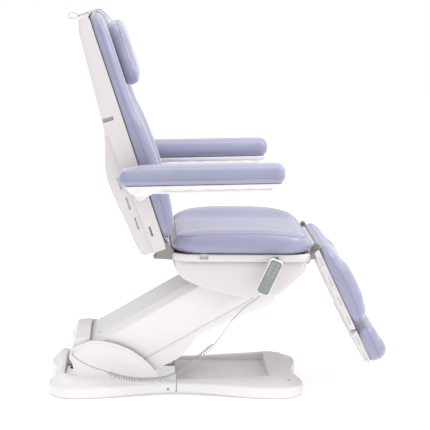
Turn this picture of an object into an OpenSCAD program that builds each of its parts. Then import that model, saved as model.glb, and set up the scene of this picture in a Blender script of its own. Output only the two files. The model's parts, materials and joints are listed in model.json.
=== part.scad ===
// Powered treatment chair: base, parallel-link lifting arm, seat, backrest, leg rest,
// armrests, actuators and a wired hand control. Millimetres, +Z up, +X towards the feet.

/* [Base] */
// Length of the base covers
base_l = 920; // [860:10:1000]
// Width of the base covers across the corner lobes
base_w = 505; // [480:5:600]
// Radius of each corner lobe
lobe_r = 95; // [80:5:110]
// How far the long sides draw in between the lobes
waist = 58; // [40:2:64]
// How far the ends draw in between the lobes
end_in = 24; // [10:2:36]
// Height of the upright skirt
skirt_h = 42; // [36:1:56]
// Height of the deck above the floor
deck_h = 75; // [68:1:90]
// Wall of the moulded covers
wall = 4; // [3:0.5:5]
// Length of a levelling foot's stud
stud_l = 22; // [18:1:30]

/* [Lifting arm] */
// Lower pivot, from the middle of the base
arm_x = -257; // [-262:1:-250]
// Height of the lower pivot
arm_z = 133; // [130:1:140]
// Distance between the arm's two pivots
arm_l = 582.7; // [560:0.1:600]
// Slope of the line through the pivots when the chair is at its lowest
arm_slope = 27.05; // [25:0.05:29]
// Slope of the arm's covers
cover_slope = 30.3; // [29:0.1:32]
// Width of the arm over its covers
arm_w = 300; // [280:2:300]
// Radius of the two main shafts
shaft_r = 15; // [12:0.5:18]

/* [Seat] */
// Length of the seat cushion
seat_l = 506; // [480:2:540]
// Width of the seat cushion
seat_w = 600; // [560:2:602]
// Thickness of the seat cushion at its bolsters
seat_t = 76; // [60:1:90]
// Height of the top of the shell's rim
rim_z = 526; // [520:1:532]
// Depth of the rim
rim_h = 20; // [14:1:26]
// Thickness of the plywood seat board
board_t = 9; // [6:1:9]

/* [Backrest] */
// Length of the backrest cushion
back_l = 822; // [760:2:860]
// Width of the backrest cushion
back_w = 576; // [540:2:590]
// Slope of the backrest at its most upright
back_slope = 71.2; // [68:0.2:74]
// Thickness of the cushion behind the head
head_t = 42; // [34:1:50]
// Thickness of the cushion at its side bolsters
bolster_t = 64; // [56:1:72]
// Radius of a hinge pin
pin_r = 6; // [5:0.5:7]

/* [Leg rest] */
// Length of the leg cushion
leg_l = 315; // [290:1:360]
// Width of the leg cushion
leg_w = 560; // [520:2:580]
// Thickness of the leg cushion
leg_t = 71; // [60:1:80]
// Slope of the leg rest when it hangs down
leg_slope = 64; // [60:0.5:68]
// Length of the foot cushion
foot_l = 138; // [120:1:160]
// Travel of the foot section on its rails
foot_travel = 150; // [100:5:160]

/* [Armrests] */
// Length of an armrest pad
rest_l = 567; // [500:1:570]
// Width of an armrest pad
rest_w = 104; // [90:1:110]
// Thickness of an armrest pad
rest_t = 64; // [50:1:70]
// Distance between the middles of the two pads
rest_gap = 720; // [720:2:760]

/* [Hand control] */
// Length of the hand control
hand_l = 132; // [120:1:150]
// Width of the hand control
hand_w = 48; // [44:1:56]
// Thickness of the hand control's case
hand_t = 19; // [16:1:24]
// Outer radius of the curly cord
coil_r = 7; // [6:0.5:8]
// Radius of the plain cord
cord_r = 2.3; // [2:0.1:3]

/* [Hidden] */
$fn = 48;
hull_fn = 32;          // rounds inside a hull
gap = 0.3;             // between soft or moulded faces of different pieces
run = 0.05;            // radial clearance of a pivot
seam = 0.5;            // half of a visible joint line
big = 2000;            // longer than any cut needs

// Rear edge of the seat and the three hinge lines
seat_x = -28;
seat_end = seat_x + seat_l;
hinge_x = -45;
hinge_z = 560;
knee_x = seat_end + 11;
knee_z = 552;

// Arm pivots
seat_pivot_x = arm_x + arm_l * cos(arm_slope);
seat_pivot_z = arm_z + arm_l * sin(arm_slope);
tie_dx = 20;           // from a main shaft to the tie bar's pivot
tie_dz = -55;
plate_y = 95;          // middle of an arm side plate
plate_t = 10;
yoke_y = 81;           // middle of a seat yoke plate
ear_y = 107;           // middle of a base ear
tie_y = 66;
channel_w = arm_w + 4; // clear width between the base's inner walls
channel_back = arm_x - 139;
channel_front = 335;

// Section of the arm's upper cover: half width, lower edge, shoulder and crown
cover_y = arm_w / 2;
cover_low = -82;
cover_side = 52;
cover_top = 74;
cover_flat = 125;

// Base frame: side rails, cross tubes and levelling feet
rail_in = 160;         // inner face of a side rail
rail_w = 26;
tube_w = 25;           // width of a cross tube
rail_z = 10;           // underside of the frame
rail_top = 35;
foot_x = 368;
foot_y0 = rail_in + rail_w / 2;
bolt_x = 414.5;        // floor bolts, through the cross tubes
bolt_y = 100;
plate_x = [arm_x - 70, arm_x + 180];
plate_top = 18;        // top of the plate under the arm's lower pivot
pan_z = 15;            // top of the tray ahead of the arm
pan_t = 3;
strip_x = [180, 220];  // strip of the frame that the tray lies on

// Lift actuator: base pivot and arm pivot
lift_a = [-120, 45];
lift_b = [48, 265];
lift_y = -10;
act_pin = 8;
lift_len = norm(lift_b - lift_a);
lift_ang = atan2(lift_b[1] - lift_a[1], lift_b[0] - lift_a[0]);
// Back and leg actuators: seat pivot and crank pin
side_y = 176;
crank_y = 186.5;       // inner face of a crank plate
back_d = [330, 425];
back_c = [hinge_x - 29, hinge_z - 46];
leg_e = [110, 440];
leg_f = [knee_x - 33.5, knee_z - 55.7];
back_len = norm(back_c - back_d);
back_ang = atan2(back_c[1] - back_d[1], back_c[0] - back_d[0]);
leg_len = norm(leg_f - leg_e);
leg_ang = atan2(leg_f[1] - leg_e[1], leg_f[0] - leg_e[0]);

// Seat heights
cushion_z = rim_z + board_t;
seat_top = cushion_z + seat_t;
frame_z = rim_z - 26;
bracket_y = 243;
lug_y = 229;
bracket_t = 8;
lug_t = 8;

// Armrest pivots
boss_x = -135;
boss_z = 745;
rest_y = rest_gap / 2;
rest_tilt = 1.7;
rest_x = -209;
rest_z = 785;

// Leg and foot places along the leg rest
leg_v0 = 4;
foot_v0 = leg_v0 + leg_l + 9;
rail_y = 90;

// Hand control
hand_x = 287;
hand_y = -312;
hand_z = 402;
hand_tilt = 24.5;
key_rows = 4;
key_pitch = 13.5;
key_w = 12;
key_h = 8.6;
key_gap = 0.3;
key_proud = 1;

// Cord gland and route
gland = [-371, -172, 150];
gland_l = 14;
lead_low = [[-371, -182, 150], [-371, -192, 150], [-368, -201, 148], [-361, -206, 143],
    [-346, -209, 132], [-324, -211, 119], [-294, -213, 107], [-268, -218, 100],
    [-252, -223, 96], [-244, -226, 92]];
coil_path = [[-244, -226, 92], [-222, -231, 84], [-194, -238, 78], [-155, -245, 73],
    [-106, -252, 73], [-49, -262, 81], [-7, -270, 99], [34, -280, 131], [75, -290, 167],
    [110, -297, 199], [127, -300, 214]];
lead_high = [[127, -300, 214], [140, -303, 232], [160, -307, 262], [188, -313, 304],
    [212, -317, 334], [236, -320, 358], [258, -321, 374], [274, -321, 386], [282, -321.5, 394],
    [286, -321.5, 401]];

// The row's origin is on the floor, under the middle of the whole object's box
foot_round = 30;       // edge radius of the foot cushion
reach_front = knee_x + (foot_v0 + foot_l - foot_round) * cos(leg_slope)
    + (leg_t - 4 - foot_round) * sin(leg_slope) + foot_round;
reach_back = -base_l / 2;
row_x = (reach_front + reach_back) / 2;

white = "#ece9ec";
shade_white = "#dcd6dc";
lavender = "#b9bbd8";
steel = "#8a8583";
dark = "#3a3a3c";
grey_green = "#939b93";

// ---------- shared helpers ----------

// Extrudes an outline drawn in X and Z along Y, between two Y values
module slab(y0, y1) translate([0, y1, 0]) rotate([90, 0, 0]) linear_extrude(y1 - y0) children();

// Both sides of the chair
module both() for (s = [-1, 1]) scale_y(s) children();
module scale_y(s) if (s > 0) children(); else mirror([0, 1, 0]) children();

// Cylinder along Y between two Y values
module rod_y(r, y0, y1) translate([0, y0, 0]) rotate([-90, 0, 0]) cylinder(r = r, h = y1 - y0);

// Frames that put flat-drawn pieces at their rest angle
module on_arm() translate([arm_x, 0, arm_z]) rotate([0, -cover_slope, 0]) children();
module on_link() translate([arm_x, 0, arm_z]) rotate([0, -arm_slope, 0]) children();
module on_back() translate([hinge_x, 0, hinge_z]) rotate([0, back_slope, 0]) mirror([1, 0, 0])
    children();
module on_leg() translate([knee_x, 0, knee_z]) rotate([0, leg_slope, 0]) children();
module at_seat_pivot() translate([seat_pivot_x, 0, seat_pivot_z]) children();
module on_hand() translate([hand_x, hand_y, hand_z]) rotate([0, hand_tilt, 0]) children();

// Rounded block with corner radius r in plan and edge radius e
module pad(x0, x1, y0, y1, z0, z1, r, e) hull() for (x = [x0 + r, x1 - r], y = [y0 + r, y1 - r])
    for (z = [z0, z1]) translate([x, y, z + (z == z0 ? e : -e)]) rotate_extrude($fn = hull_fn)
        intersection() {
            translate([r - e, 0]) circle(e, $fn = 16);
            translate([0, -e]) square([r, 2 * e]);
        }

// Straight bar with round ends between two points of an XZ outline
module bar(a, b, r) {
    translate(a) circle(r);
    translate(b) circle(r);
    dir = (b - a) / norm(b - a);
    side = [-dir[1], dir[0]] * r;
    polygon([a + side, b + side, b - side, a - side]);
}

// Catmull-Rom point between p1 and p2
function between(p0, p1, p2, p3, t) = 0.5 * (2 * p1 + (p2 - p0) * t
    + (2 * p0 - 5 * p1 + 4 * p2 - p3) * t * t + (3 * p1 - p0 - 3 * p2 + p3) * t * t * t);
function smooth(p, n) = [for (i = [0 : len(p) - 2]) for (k = [0 : n - 1])
    between(p[max(i - 1, 0)], p[i], p[i + 1], p[min(i + 2, len(p) - 1)], k / n), p[len(p) - 1]];
function unit(v) = v / norm(v);
function heading(p, i) = unit(p[min(i + 1, len(p) - 1)] - p[max(i - 1, 0)]);

// Tube of radius r along the points p
module tube(p, r, sides) {
    n = len(p);
    rings = [for (i = [0 : n - 1]) let (d = heading(p, i), u = unit(cross(d, [0, 0, 1])),
        w = cross(u, d)) for (k = [0 : sides - 1]) let (a = 360 * k / sides)
        p[i] + r * (cos(a) * u + sin(a) * w)];
    polyhedron(rings, concat([[for (k = [0 : sides - 1]) k]],
        [for (i = [0 : n - 2], k = [0 : sides - 1]) let (k1 = (k + 1) % sides)
            [i * sides + k, (i + 1) * sides + k, (i + 1) * sides + k1, i * sides + k1]],
        [[for (k = [sides - 1 : -1 : 0]) (n - 1) * sides + k]]), convexity = 10);
}

// ---------- base ----------

module base_outline() {
    offset(r = -200) offset(r = 200) {
        for (x = [-1, 1], y = [-1, 1])
            translate([x * (base_l / 2 - lobe_r), y * (base_w / 2 - lobe_r)]) circle(lobe_r);
        square([base_l - 2 * end_in, base_w - 2 * waist], center = true);
    }
}

// Layers of the base's outer form: [height of the layer's top, how far it draws in]
base_layers = [[skirt_h - 6, 0], [skirt_h, 4], [skirt_h + 4, 14], [skirt_h + 9, 30],
    [skirt_h + 16, 48], [deck_h - 8, 62], [deck_h, 70]];

module base_form(inset) for (i = [0 : len(base_layers) - 1])
    translate([0, 0, 3]) linear_extrude(base_layers[i][0] - 3)
        offset(delta = -base_layers[i][1] - inset) base_outline();

module channel_block(grow) translate([channel_back - grow, -channel_w / 2 - grow, -1])
    cube([channel_front - channel_back + 2 * grow, channel_w + 2 * grow, deck_h + 2]);

// The deck dips towards the middle of the long sides
module deck_dip() translate([20, 0, 50 + 3700]) rotate([90, 0, 0])
    cylinder(r = 3700, h = base_w + 2, center = true, $fn = 360);

module base_shell() difference() {
    base_form(0);
    difference() {
        translate([0, 0, -wall]) base_form(wall);
        channel_block(wall);
        translate([0, 0, -wall]) deck_dip();
    }
    channel_block(0);
    deck_dip();
}

// Holes for the caps on the lobes and the screws beside the joint line
inlet_x = -base_l / 2 + end_in;  // rear end of the base at its middle
inlet_w = 32;
inlet_h = 22;
inlet_z = 12;
inlet_d = 5.7;
screw_x = 402;
screw_y = base_w / 2 - 62;
side_screw_x = -30;
side_screw_z = 22;
side_screw_y = base_w / 2 - waist;
module screw_holes() {
    for (x = [-screw_x, screw_x], y = [-1, 1]) translate([x, y * screw_y, 30]) cylinder(r = 6.05, h = 60);
    both() translate([side_screw_x, 0, side_screw_z]) rod_y(4.55, side_screw_y - 12, side_screw_y + 30);
}

module base_cover_rear() color(white) difference() {
    intersection() {
        base_shell();
        translate([-big - seam, -big / 2, 0]) cube([big, big, big]);
    }
    // inner walls stand on the frame's plate
    translate([channel_back - wall - 1, -rail_in - 0.5, -1])
        cube([-channel_back + wall + 2, 2 * rail_in + 1, plate_top + 1]);
    // slots that the cheeks pass through
    both() slab(cheek_y - gap, cheek_y + cheek_t + gap) offset(delta = gap) cheek_profile();
    translate([inlet_x - 6, -inlet_w / 2 - gap, inlet_z - gap])
        cube([inlet_d + 12, inlet_w + 2 * gap, inlet_h + 2 * gap]);
    screw_holes();
}

module base_cover_front() color(white) {
    difference() {
        intersection() {
            base_shell();
            translate([seam, -big / 2, 0]) cube([big, big, big]);
        }
        // inner walls stop at the underside of the tray
        translate([0, -rail_in - 0.5, -1])
            cube([channel_front + wall + 1, 2 * rail_in + 1, pan_z - pan_t + 1]);
        screw_holes();
    }
    translate([seam, -channel_w / 2 - 1, pan_z - pan_t])
        cube([channel_front - seam + 1, channel_w + 2, pan_t]);
}

// Fender plate beside the lower pivot, a disc segment standing on the deck
cheek_y = rail_in;
cheek_t = 12;
module cheek_profile() intersection() {
    translate([-298, -85]) circle(278, $fn = 180);
    union() {
        translate([-345, 168]) circle(24);
        translate([-345, 40]) square([290, 200]);
        translate([-369, 0]) square([60, 168]);
        translate([gland[0] - 11, 0]) square([60, gland[2]]);
        translate([gland[0], gland[2]]) circle(11);
        translate([-369, 0]) square([310, 80]);
    }
    translate([-500, rail_top]) square([600, 400]);
}
module cheek() slab(cheek_y, cheek_y + cheek_t) cheek_profile();
module cheek_left() color(white) cheek();
module cheek_right() color(white) mirror([0, 1, 0]) cheek();

// Welded frame under the covers, with the ears that carry the arm
module base_frame() color(steel) {
    difference() {
        union() {
            both() translate([-420, rail_in, rail_z]) cube([840, rail_w, rail_top - rail_z]);
            for (x = [-bolt_x, bolt_x]) translate([x - tube_w / 2, -rail_in - 1, rail_z])
                cube([tube_w, 2 * rail_in + 2, rail_top - rail_z]);
            translate([plate_x[0], -rail_in - 1, rail_z])
                cube([plate_x[1] - plate_x[0], 2 * rail_in + 2, plate_top - rail_z]);
            translate([strip_x[0], -rail_in - 1, rail_z])
                cube([strip_x[1] - strip_x[0], 2 * rail_in + 2, pan_z - pan_t - rail_z]);
            both() slab(ear_y - 5, ear_y + 5) {
                bar([arm_x, arm_z], [arm_x - 10, 40], 26);
                bar([arm_x + tie_dx, arm_z + tie_dz], [arm_x + 24, 40], 20);
                translate([arm_x - 40, 17]) square([88, 30]);
            }
            slab(tie_y - 18, tie_y - 10) {
                bar([arm_x + tie_dx, arm_z + tie_dz], [arm_x + tie_dx, 34], 18);
                translate([arm_x + tie_dx - 18, 17]) square([36, 20]);
            }
            for (y = [lift_y - 30, lift_y + 22]) slab(y, y + 8)
                bar(lift_a, [lift_a[0], 32], 16);
        }
        translate([arm_x, 0, arm_z]) rod_y(shaft_r, -200, 200);
        translate([arm_x + tie_dx, 0, arm_z + tie_dz]) rod_y(act_pin, -200, 200);
        translate([lift_a[0], 0, lift_a[1]]) rod_y(act_pin, -200, 200);
        for (x = [-1, 1], y = [-1, 1]) translate([x * foot_x, y * foot_y0, 0])
            cylinder(r = 5, h = 60);
        for (x = [-1, 1], y = [-1, 1]) translate([x * bolt_x, y * bolt_y, 0])
            cylinder(r = 5.5, h = 60);
    }
}

module levelling_feet() color(dark) for (x = [-1, 1], y = [-1, 1])
    translate([x * foot_x, y * foot_y0, 0]) {
        cylinder(r1 = 25, r2 = 22, h = 6);
        cylinder(r = 12, h = 9.9);
        cylinder(r = 5, h = 9.9 + stud_l);
    }

// Countersunk caps on the lobes and one screw by each side's joint line
module base_screws() color(steel) {
    for (x = [-screw_x, screw_x], y = [-1, 1]) translate([x, y * screw_y, skirt_h + 4])
        cylinder(r = 6, h = 10);
    both() translate([side_screw_x, 0, side_screw_z]) rod_y(4.5, side_screw_y - 5, side_screw_y + 1);
}

module base_shafts() color(steel) {
    translate([arm_x, 0, arm_z]) rod_y(shaft_r, -ear_y - 8, ear_y + 8);
    translate([arm_x + tie_dx, 0, arm_z + tie_dz]) rod_y(act_pin, tie_y - 20, ear_y + 7);
    translate([lift_a[0], 0, lift_a[1]]) rod_y(act_pin, lift_y - 33, lift_y + 33);
}

// ---------- lifting arm ----------

// Two side plates on tubes, with bores for both shafts
cross_u = [150, 420];
cover_posts = [[262, -14], [378, -20]];
tab_u = 360;           // where the lower cover is fixed
tab_w = -92;
cap_post = [arm_x - 70, arm_z + 20];
module arm_frame() color(steel) difference() {
    union() {
        both() slab(plate_y - plate_t / 2, plate_y + plate_t / 2) difference() {
            union() {
                bar([arm_x, arm_z], [seat_pivot_x, seat_pivot_z], 42);
                bar([arm_x, arm_z], lift_b, 30);
            }
            for (u = [0.35, 0.55, 0.75]) translate([arm_x, arm_z] + u
                * [seat_pivot_x - arm_x, seat_pivot_z - arm_z]) circle(20);
        }
        on_link() for (u = cross_u) translate([u, 0, 26]) rod_y(11, -plate_y, plate_y);
        // posts that the covers are fixed to
        on_arm() both() {
            for (p = cover_posts) translate([p[0], 0, p[1]]) rod_y(6, plate_y, cover_y - wall);
            translate([tab_u, 0, tab_w]) rod_y(5, plate_y, cover_y - wall - 3);
            slab(plate_y - 5, plate_y + 5) bar([tab_u, tab_w], [tab_u, -30], 8);
        }
        both() {
            slab(plate_y - 5, plate_y + 5) bar([arm_x, arm_z], cap_post, 9);
            translate([cap_post[0], 0, cap_post[1]]) rod_y(6, plate_y, cover_y - wall);
        }
    }
    translate([arm_x, 0, arm_z]) rod_y(shaft_r + run, -200, 200);
    at_seat_pivot() rod_y(shaft_r, -200, 200);
    translate([lift_b[0], 0, lift_b[1]]) rod_y(act_pin, -200, 200);
}

// Half section of the upper cover, drawn as [across, up]
module cover_section(t) {
    y = cover_y - t;
    polygon([[-y, cover_low - t], [-y, cover_side], [-y + 8, cover_side + 14 - t / 2],
        [-cover_flat, cover_top - t], [cover_flat, cover_top - t],
        [y - 8, cover_side + 14 - t / 2], [y, cover_side], [y, cover_low - t]]);
}
module along_arm(u0, u1) translate([u0, 0, 0]) rotate([90, 0, 90]) linear_extrude(u1 - u0)
    children();

cover_u0 = -130;
top_u1 = 500;
side_u1 = 600;
// Everything behind the joint line of the end cap, in the frame of the rest pose
cap_seam = [[-358, -100], [-279, 400]];
module behind_seam(g) polygon([[-700, -100], cap_seam[0] + [g, 0], cap_seam[1] + [g, 0],
    [-700, 400]]);
module arm_cover_upper() color(white) difference() {
    on_arm() upper_channel();
    slab(-arm_w, arm_w) {
        behind_seam(gap);
        translate([-700, -100]) square([500, 100 + arm_z - cap_drop]);
    }
}
module upper_channel() difference() {
    along_arm(cover_u0, side_u1) cover_section(0);
    along_arm(cover_u0 - 1, side_u1 + 1) difference() {
        cover_section(wall);
        translate([-arm_w, cover_low - 2 * wall]) square([2 * arm_w, wall]);
    }
    along_arm(cover_u0 - 1, side_u1 + 1) translate([-arm_w, cover_low - 9]) square([2 * arm_w, 9]);
    translate([top_u1, -cover_y + wall, 0]) cube([200, arm_w - 2 * wall, 200]);
    translate([top_u1 + 55, -arm_w, cover_side - 26]) rotate([0, -38, 0]) cube([200, 2 * arm_w, 200]);
}

// Lower cover: side outline from the rear step to the front end
lower_y = cover_y - 3;
module lower_profile(t) polygon([[84 + t, cover_low - gap - t], [100 + t, -128 + t], [112, -134 + t],
    [226 + t, -141 + t], [258, -134 + t], [300, -116 + t], [331, -107 + t], [354, -106 + t],
    [468, -117 + t], [609 - t, -137 + t], [634 - t, -126 + t], [634 - t, cover_low - gap - t]]);
module arm_cover_lower() color(white) on_arm() difference() {
    slab(-lower_y, lower_y) lower_profile(0);
    slab(-lower_y + wall, lower_y - wall) {
        lower_profile(wall);
        translate([80, cover_low - 2 * wall]) square([570, 3 * wall]);
    }
    slab(-plate_y + 5, plate_y - 5) translate([60, -200]) square([170, 150]);
    slab(-plate_y - 16, plate_y + 16) translate([520, -200]) square([160, 150]);
}

// Rounded end cap behind the lower pivot
cap_r = 121;
cap_rise = 79;
cap_drop = 66;
module cap_profile(t, front) intersection() {
    translate([arm_x, arm_z]) circle(cap_r - t, $fn = 120);
    behind_seam(front);
    translate([arm_x - cap_r, arm_z - cap_drop - t]) square([cap_r, cap_drop + cap_rise]);
}
module arm_end_cap() color(white) difference() {
    slab(-cover_y, cover_y) cap_profile(0, -gap);
    slab(-cover_y + wall, cover_y - wall) cap_profile(wall, 60);
}

module arm_screws() color(steel) on_arm() both()
    translate([24, cover_flat - 14, cover_top]) cylinder(r = 5, h = 2);

module arm_shafts() color(steel) {
    at_seat_pivot() rod_y(shaft_r, -plate_y - 10, plate_y + 10);
    translate([lift_b[0], 0, lift_b[1]]) rod_y(act_pin, -plate_y - 8, plate_y + 8);
}

// Second link, which keeps the seat level
tie_ends = [[arm_x + tie_dx, arm_z + tie_dz], [seat_pivot_x + tie_dx, seat_pivot_z + tie_dz]];
module tie_bar() color(steel) difference() {
    union() {
        slab(tie_y - 6, tie_y + 6) bar(tie_ends[0], tie_ends[1], 15);
        for (p = tie_ends) translate([p[0], 0, p[1]]) rod_y(15.5, tie_y - 7, tie_y + 7);
    }
    for (p = tie_ends) translate([p[0], 0, p[1]]) rod_y(act_pin + run, 0, 200);
}

// ---------- actuators ----------

// Housing of a linear actuator, drawn along +X from its pivot
module motor(len, tube_r, motor_r, side, pin) difference() {
    union() {
        rotate([0, 90, 0]) translate([0, 0, 26]) cylinder(r = tube_r, h = len - 26);
        rod_y(17, -11, 11);
        translate([0, -9, -12]) cube([30, 18, 24]);
        translate([26, min(0, side), -motor_r]) cube([34, abs(side), 2 * motor_r]);
        translate([26, side, 0]) rotate([0, 90, 0]) cylinder(r = motor_r, h = 118);
    }
    rod_y(pin + run, -60, 60);
    translate([62, 0, 0]) rotate([0, 90, 0]) cylinder(r = 9.5, h = len);
}
// Rod with an open eye at its far end; play is the eye's clearance round its pin
module rod_with_eye(len, depth, pin, play) difference() {
    union() {
        translate([depth, 0, 0]) rotate([0, 90, 0]) cylinder(r = 9.4, h = len - depth - pin - play - 2);
        translate([len, 0, 0]) rod_y(pin + play + 3.5, -8, 8);
    }
    translate([len, 0, 0]) rod_y(pin + play, -20, 20);
}

lift_play = 6;
crank_play = 9;
module at_lift() translate([lift_a[0], lift_y, lift_a[1]]) rotate([0, -lift_ang, 0]) children();
module at_back_motor() translate([back_d[0], side_y, back_d[1]]) rotate([0, -back_ang, 0]) children();
module at_leg_motor() translate([leg_e[0], -side_y, leg_e[1]]) rotate([0, -leg_ang, 0]) children();
module lift_motor() color(dark) at_lift() motor(220, 22, 24, -48, act_pin);
module lift_rod() color(steel) at_lift() rod_with_eye(lift_len, 150, act_pin, lift_play);
module back_motor() color(dark) at_back_motor() motor(210, 18, 20, 40, pin_r);
module back_rod() color(steel) at_back_motor() rod_with_eye(back_len, 150, pin_r, crank_play);
module leg_motor() color(dark) at_leg_motor() motor(250, 18, 20, -40, pin_r);
module leg_rod() color(steel) at_leg_motor() rod_with_eye(leg_len, 150, pin_r, crank_play);

// ---------- seat ----------

rail_x = [10, seat_end - 38];
module seat_frame() color(steel) difference() {
    union() {
        both() translate([rail_x[0], 205, frame_z]) cube([rail_x[1] - rail_x[0], 22, 26]);
        for (x = [105, 247, seat_end - 103]) translate([x, -206, frame_z]) cube([30, 412, 26]);
        both() slab(yoke_y - 5, yoke_y + 5) {
            bar([seat_pivot_x, seat_pivot_z], [seat_pivot_x, frame_z - 5], 30);
            bar([seat_pivot_x, seat_pivot_z], [seat_pivot_x + tie_dx, seat_pivot_z + tie_dz], 20);
        }
        // tabs that carry the shell
        both() for (x = [150, 300]) translate([x, 226, frame_z])
            cube([24, shell_y - wall - 226, 6]);
        // lugs of the back and leg actuators
        for (y = [-22, 14]) slab(side_y + y, side_y + y + 8)
            bar(back_d, [back_d[0], frame_z + 4], 14);
        for (y = [-22, 14]) slab(-side_y + y, -side_y + y + 8)
            bar(leg_e, [leg_e[0], frame_z + 4], 14);
        translate([back_d[0], 0, back_d[1]]) rod_y(pin_r, side_y - 20, side_y + 20);
        translate([leg_e[0], 0, leg_e[1]]) rod_y(pin_r, -side_y - 20, -side_y + 20);
        at_seat_pivot() translate([tie_dx, 0, tie_dz]) rod_y(act_pin, tie_y - 8, yoke_y);
        translate([back_d[0] - 16, side_y - 22, frame_z]) cube([32, 56, 8]);
    }
    at_seat_pivot() rod_y(shaft_r + run, -200, 200);
}

// Plan of the shell's rim, drawn in by t
module round_rect(x0, x1, y0, y1, r) {
    translate([x0 + r, y0]) square([x1 - x0 - 2 * r, y1 - y0]);
    translate([x0, y0 + r]) square([x1 - x0, y1 - y0 - 2 * r]);
    for (x = [x0 + r, x1 - r], y = [y0 + r, y1 - r]) translate([x, y]) circle(r);
}
rim_x = [seat_x + 1, seat_end - 10];
rim_y = 290;
rim_r = 62;
shell_y = 268;
module rim(t) round_rect(rim_x[0] + t, rim_x[1] - t, -rim_y + t, rim_y - t, rim_r - t);
module belly(t) offset(delta = -t) polygon([[-18, rim_z], [-16, 488], [-8, 465], [13, 440],
    [40, 425], [77, 408], [130, 388], [200, 374], [271, 369], [341, 375],
    [seat_end - 102, 395], [seat_end - 68, 424], [seat_end - 33, 463], [seat_end - 18, rim_z]]);
module seat_shell() color(shade_white) difference() {
    union() {
        translate([0, 0, rim_z - rim_h]) linear_extrude(rim_h) rim(0);
        slab(-shell_y, shell_y) belly(0);
    }
    translate([0, 0, rim_z - rim_h + wall]) linear_extrude(rim_h) rim(wall);
    slab(-shell_y + wall, shell_y - wall) {
        belly(wall);
        translate([-12, rim_z - rim_h]) square([seat_end - 12, rim_h + 1]);
    }
    // way in for the arm
    translate([58, -arm_w / 2 - 7, 300]) cube([346, arm_w + 14, 130]);
    // windows for the hinge brackets, the cranks and their rods
    both() translate([-40, bracket_y - 8, 480]) cube([50, 16, 60]);
    both() translate([seat_end - 42, bracket_y - 8, 480]) cube([60, 16, 60]);
    translate([-40, side_y - 24, 488]) cube([60, 48, 60]);
    translate([seat_end - 52, -side_y - 24, 462]) cube([70, 48, 80]);
    // notches in the near rim
    translate([75, -rim_y - 1, rim_z - 9]) cube([28, 8, 20]);
}

module seat_board() color("#c9a877") translate([0, 0, rim_z]) linear_extrude(board_t)
    round_rect(10, seat_end - 29, -272, 272, 50);

module seat_cushion() color(lavender)
    pad(seat_x, seat_end, -seat_w / 2, seat_w / 2, cushion_z, seat_top, 110, 28);

// Plates and pins of the backrest's and leg rest's hinges
rear_tip = [-79, 517];
rear_foot = [-6, 512];
front_foot = [seat_end - 54, 514];
front_tip = [seat_end - 6, 518];
module hinge_brackets() color(steel) both() {
    slab(bracket_y - bracket_t / 2, bracket_y + bracket_t / 2) {
        bar([hinge_x, hinge_z], rear_tip, 9);
        bar(rear_tip, rear_foot, 8);
        bar(rear_foot, [hinge_x, hinge_z], 8);
        polygon([[hinge_x, hinge_z], rear_tip, rear_foot]);
        bar(front_foot, front_tip, 9);
        bar(front_tip, [knee_x, knee_z], 9);
    }
    for (x = [[rear_foot[0] - 6, 40], [front_foot[0] - 14, front_foot[0] + 14]])
        translate([x[0], 227, frame_z + 4]) cube([x[1] - x[0], bracket_y - bracket_t / 2 - 226, 18]);
    for (p = [[hinge_x, hinge_z], [knee_x, knee_z]])
        translate([p[0], 0, p[1]]) rod_y(pin_r, lug_y - 8, bracket_y + 7);
    translate([rear_tip[0], 0, rear_tip[1]]) rod_y(4, bracket_y + 4, bracket_y + 8);
}

hook_x = 336;
hook_z = 509;
module handset_hook() color(steel) {
    translate([hook_x - 12, -rim_y - 3, hook_z - 2]) cube([24, 3, 18]);
    translate([hook_x, 0, hook_z]) rod_y(3, hand_y - 5, -rim_y - 1);
}

// Box slot for the control electronics, hung under the seat frame
module control_box() color(dark) translate([312, -62, frame_z - 46])
    difference() {
        cube([100, 124, 46]);
        translate([3, 3, 3]) cube([94, 118, 40]);
    }

// Socket for a mains lead, in the rear end of the base
module mains_inlet() color(dark) translate([inlet_x - 2, -inlet_w / 2, inlet_z]) difference() {
    cube([inlet_d + 2 - 0.3, inlet_w, inlet_h]);
    translate([-1, 4, 4]) cube([4, inlet_w - 8, inlet_h - 8]);
    for (y = [-7, 0, 7]) translate([2, inlet_w / 2 + y - 1, inlet_h / 2]) cube([3, 2, 4]);
}

module cord_gland() color(white) difference() {
    translate([gland[0], 0, gland[2]]) rod_y(6, gland[1] - gland_l, gland[1]);
    translate([gland[0], 0, gland[2]]) rod_y(cord_r, gland[1] - gland_l - 1, gland[1] + 1);
}

// ---------- hand control ----------

module hand_outline(t) round_rect(-hand_w / 2 + t, hand_w / 2 - t, t, hand_l - t, 8 - t);
function key_place(i) = [(i % 2 == 0 ? -1 : 1) * 9, hand_l - 18 - floor(i / 2) * key_pitch];
module key_shape(grow) round_rect(-key_w / 2 - grow, key_w / 2 + grow, -key_h / 2 - grow,
    key_h / 2 + grow, 2);
face_t = 2;
module handset_case() color(white) difference() {
    on_hand() difference() {
        slab(-hand_t, 0) hand_outline(0);
        for (i = [0 : 7]) slab(-hand_t - 1, -hand_t + 1.5) translate(key_place(i)) key_shape(key_gap);
        translate([0, -hand_t / 2, -1]) cylinder(r = cord_r, h = 12);
    }
    translate([hook_x, 0, hook_z]) rod_y(3.1, hand_y - 6, hand_y + 1);
}
module handset_face() color(grey_green) on_hand() difference() {
    slab(-hand_t - face_t, -hand_t) hand_outline(3);
    for (i = [0 : 7]) slab(-hand_t - face_t - 1, -hand_t + 1) translate(key_place(i))
        key_shape(key_gap);
}
module key(i) color("#c8ccc8") on_hand()
    slab(-hand_t - face_t - key_proud, -hand_t - 0.1) translate(key_place(i)) key_shape(0);
module key_1() key(0);
module key_2() key(1);
module key_3() key(2);
module key_4() key(3);
module key_5() key(4);
module key_6() key(5);
module key_7() key(6);
module key_8() key(7);

// ---------- backrest ----------

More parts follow.
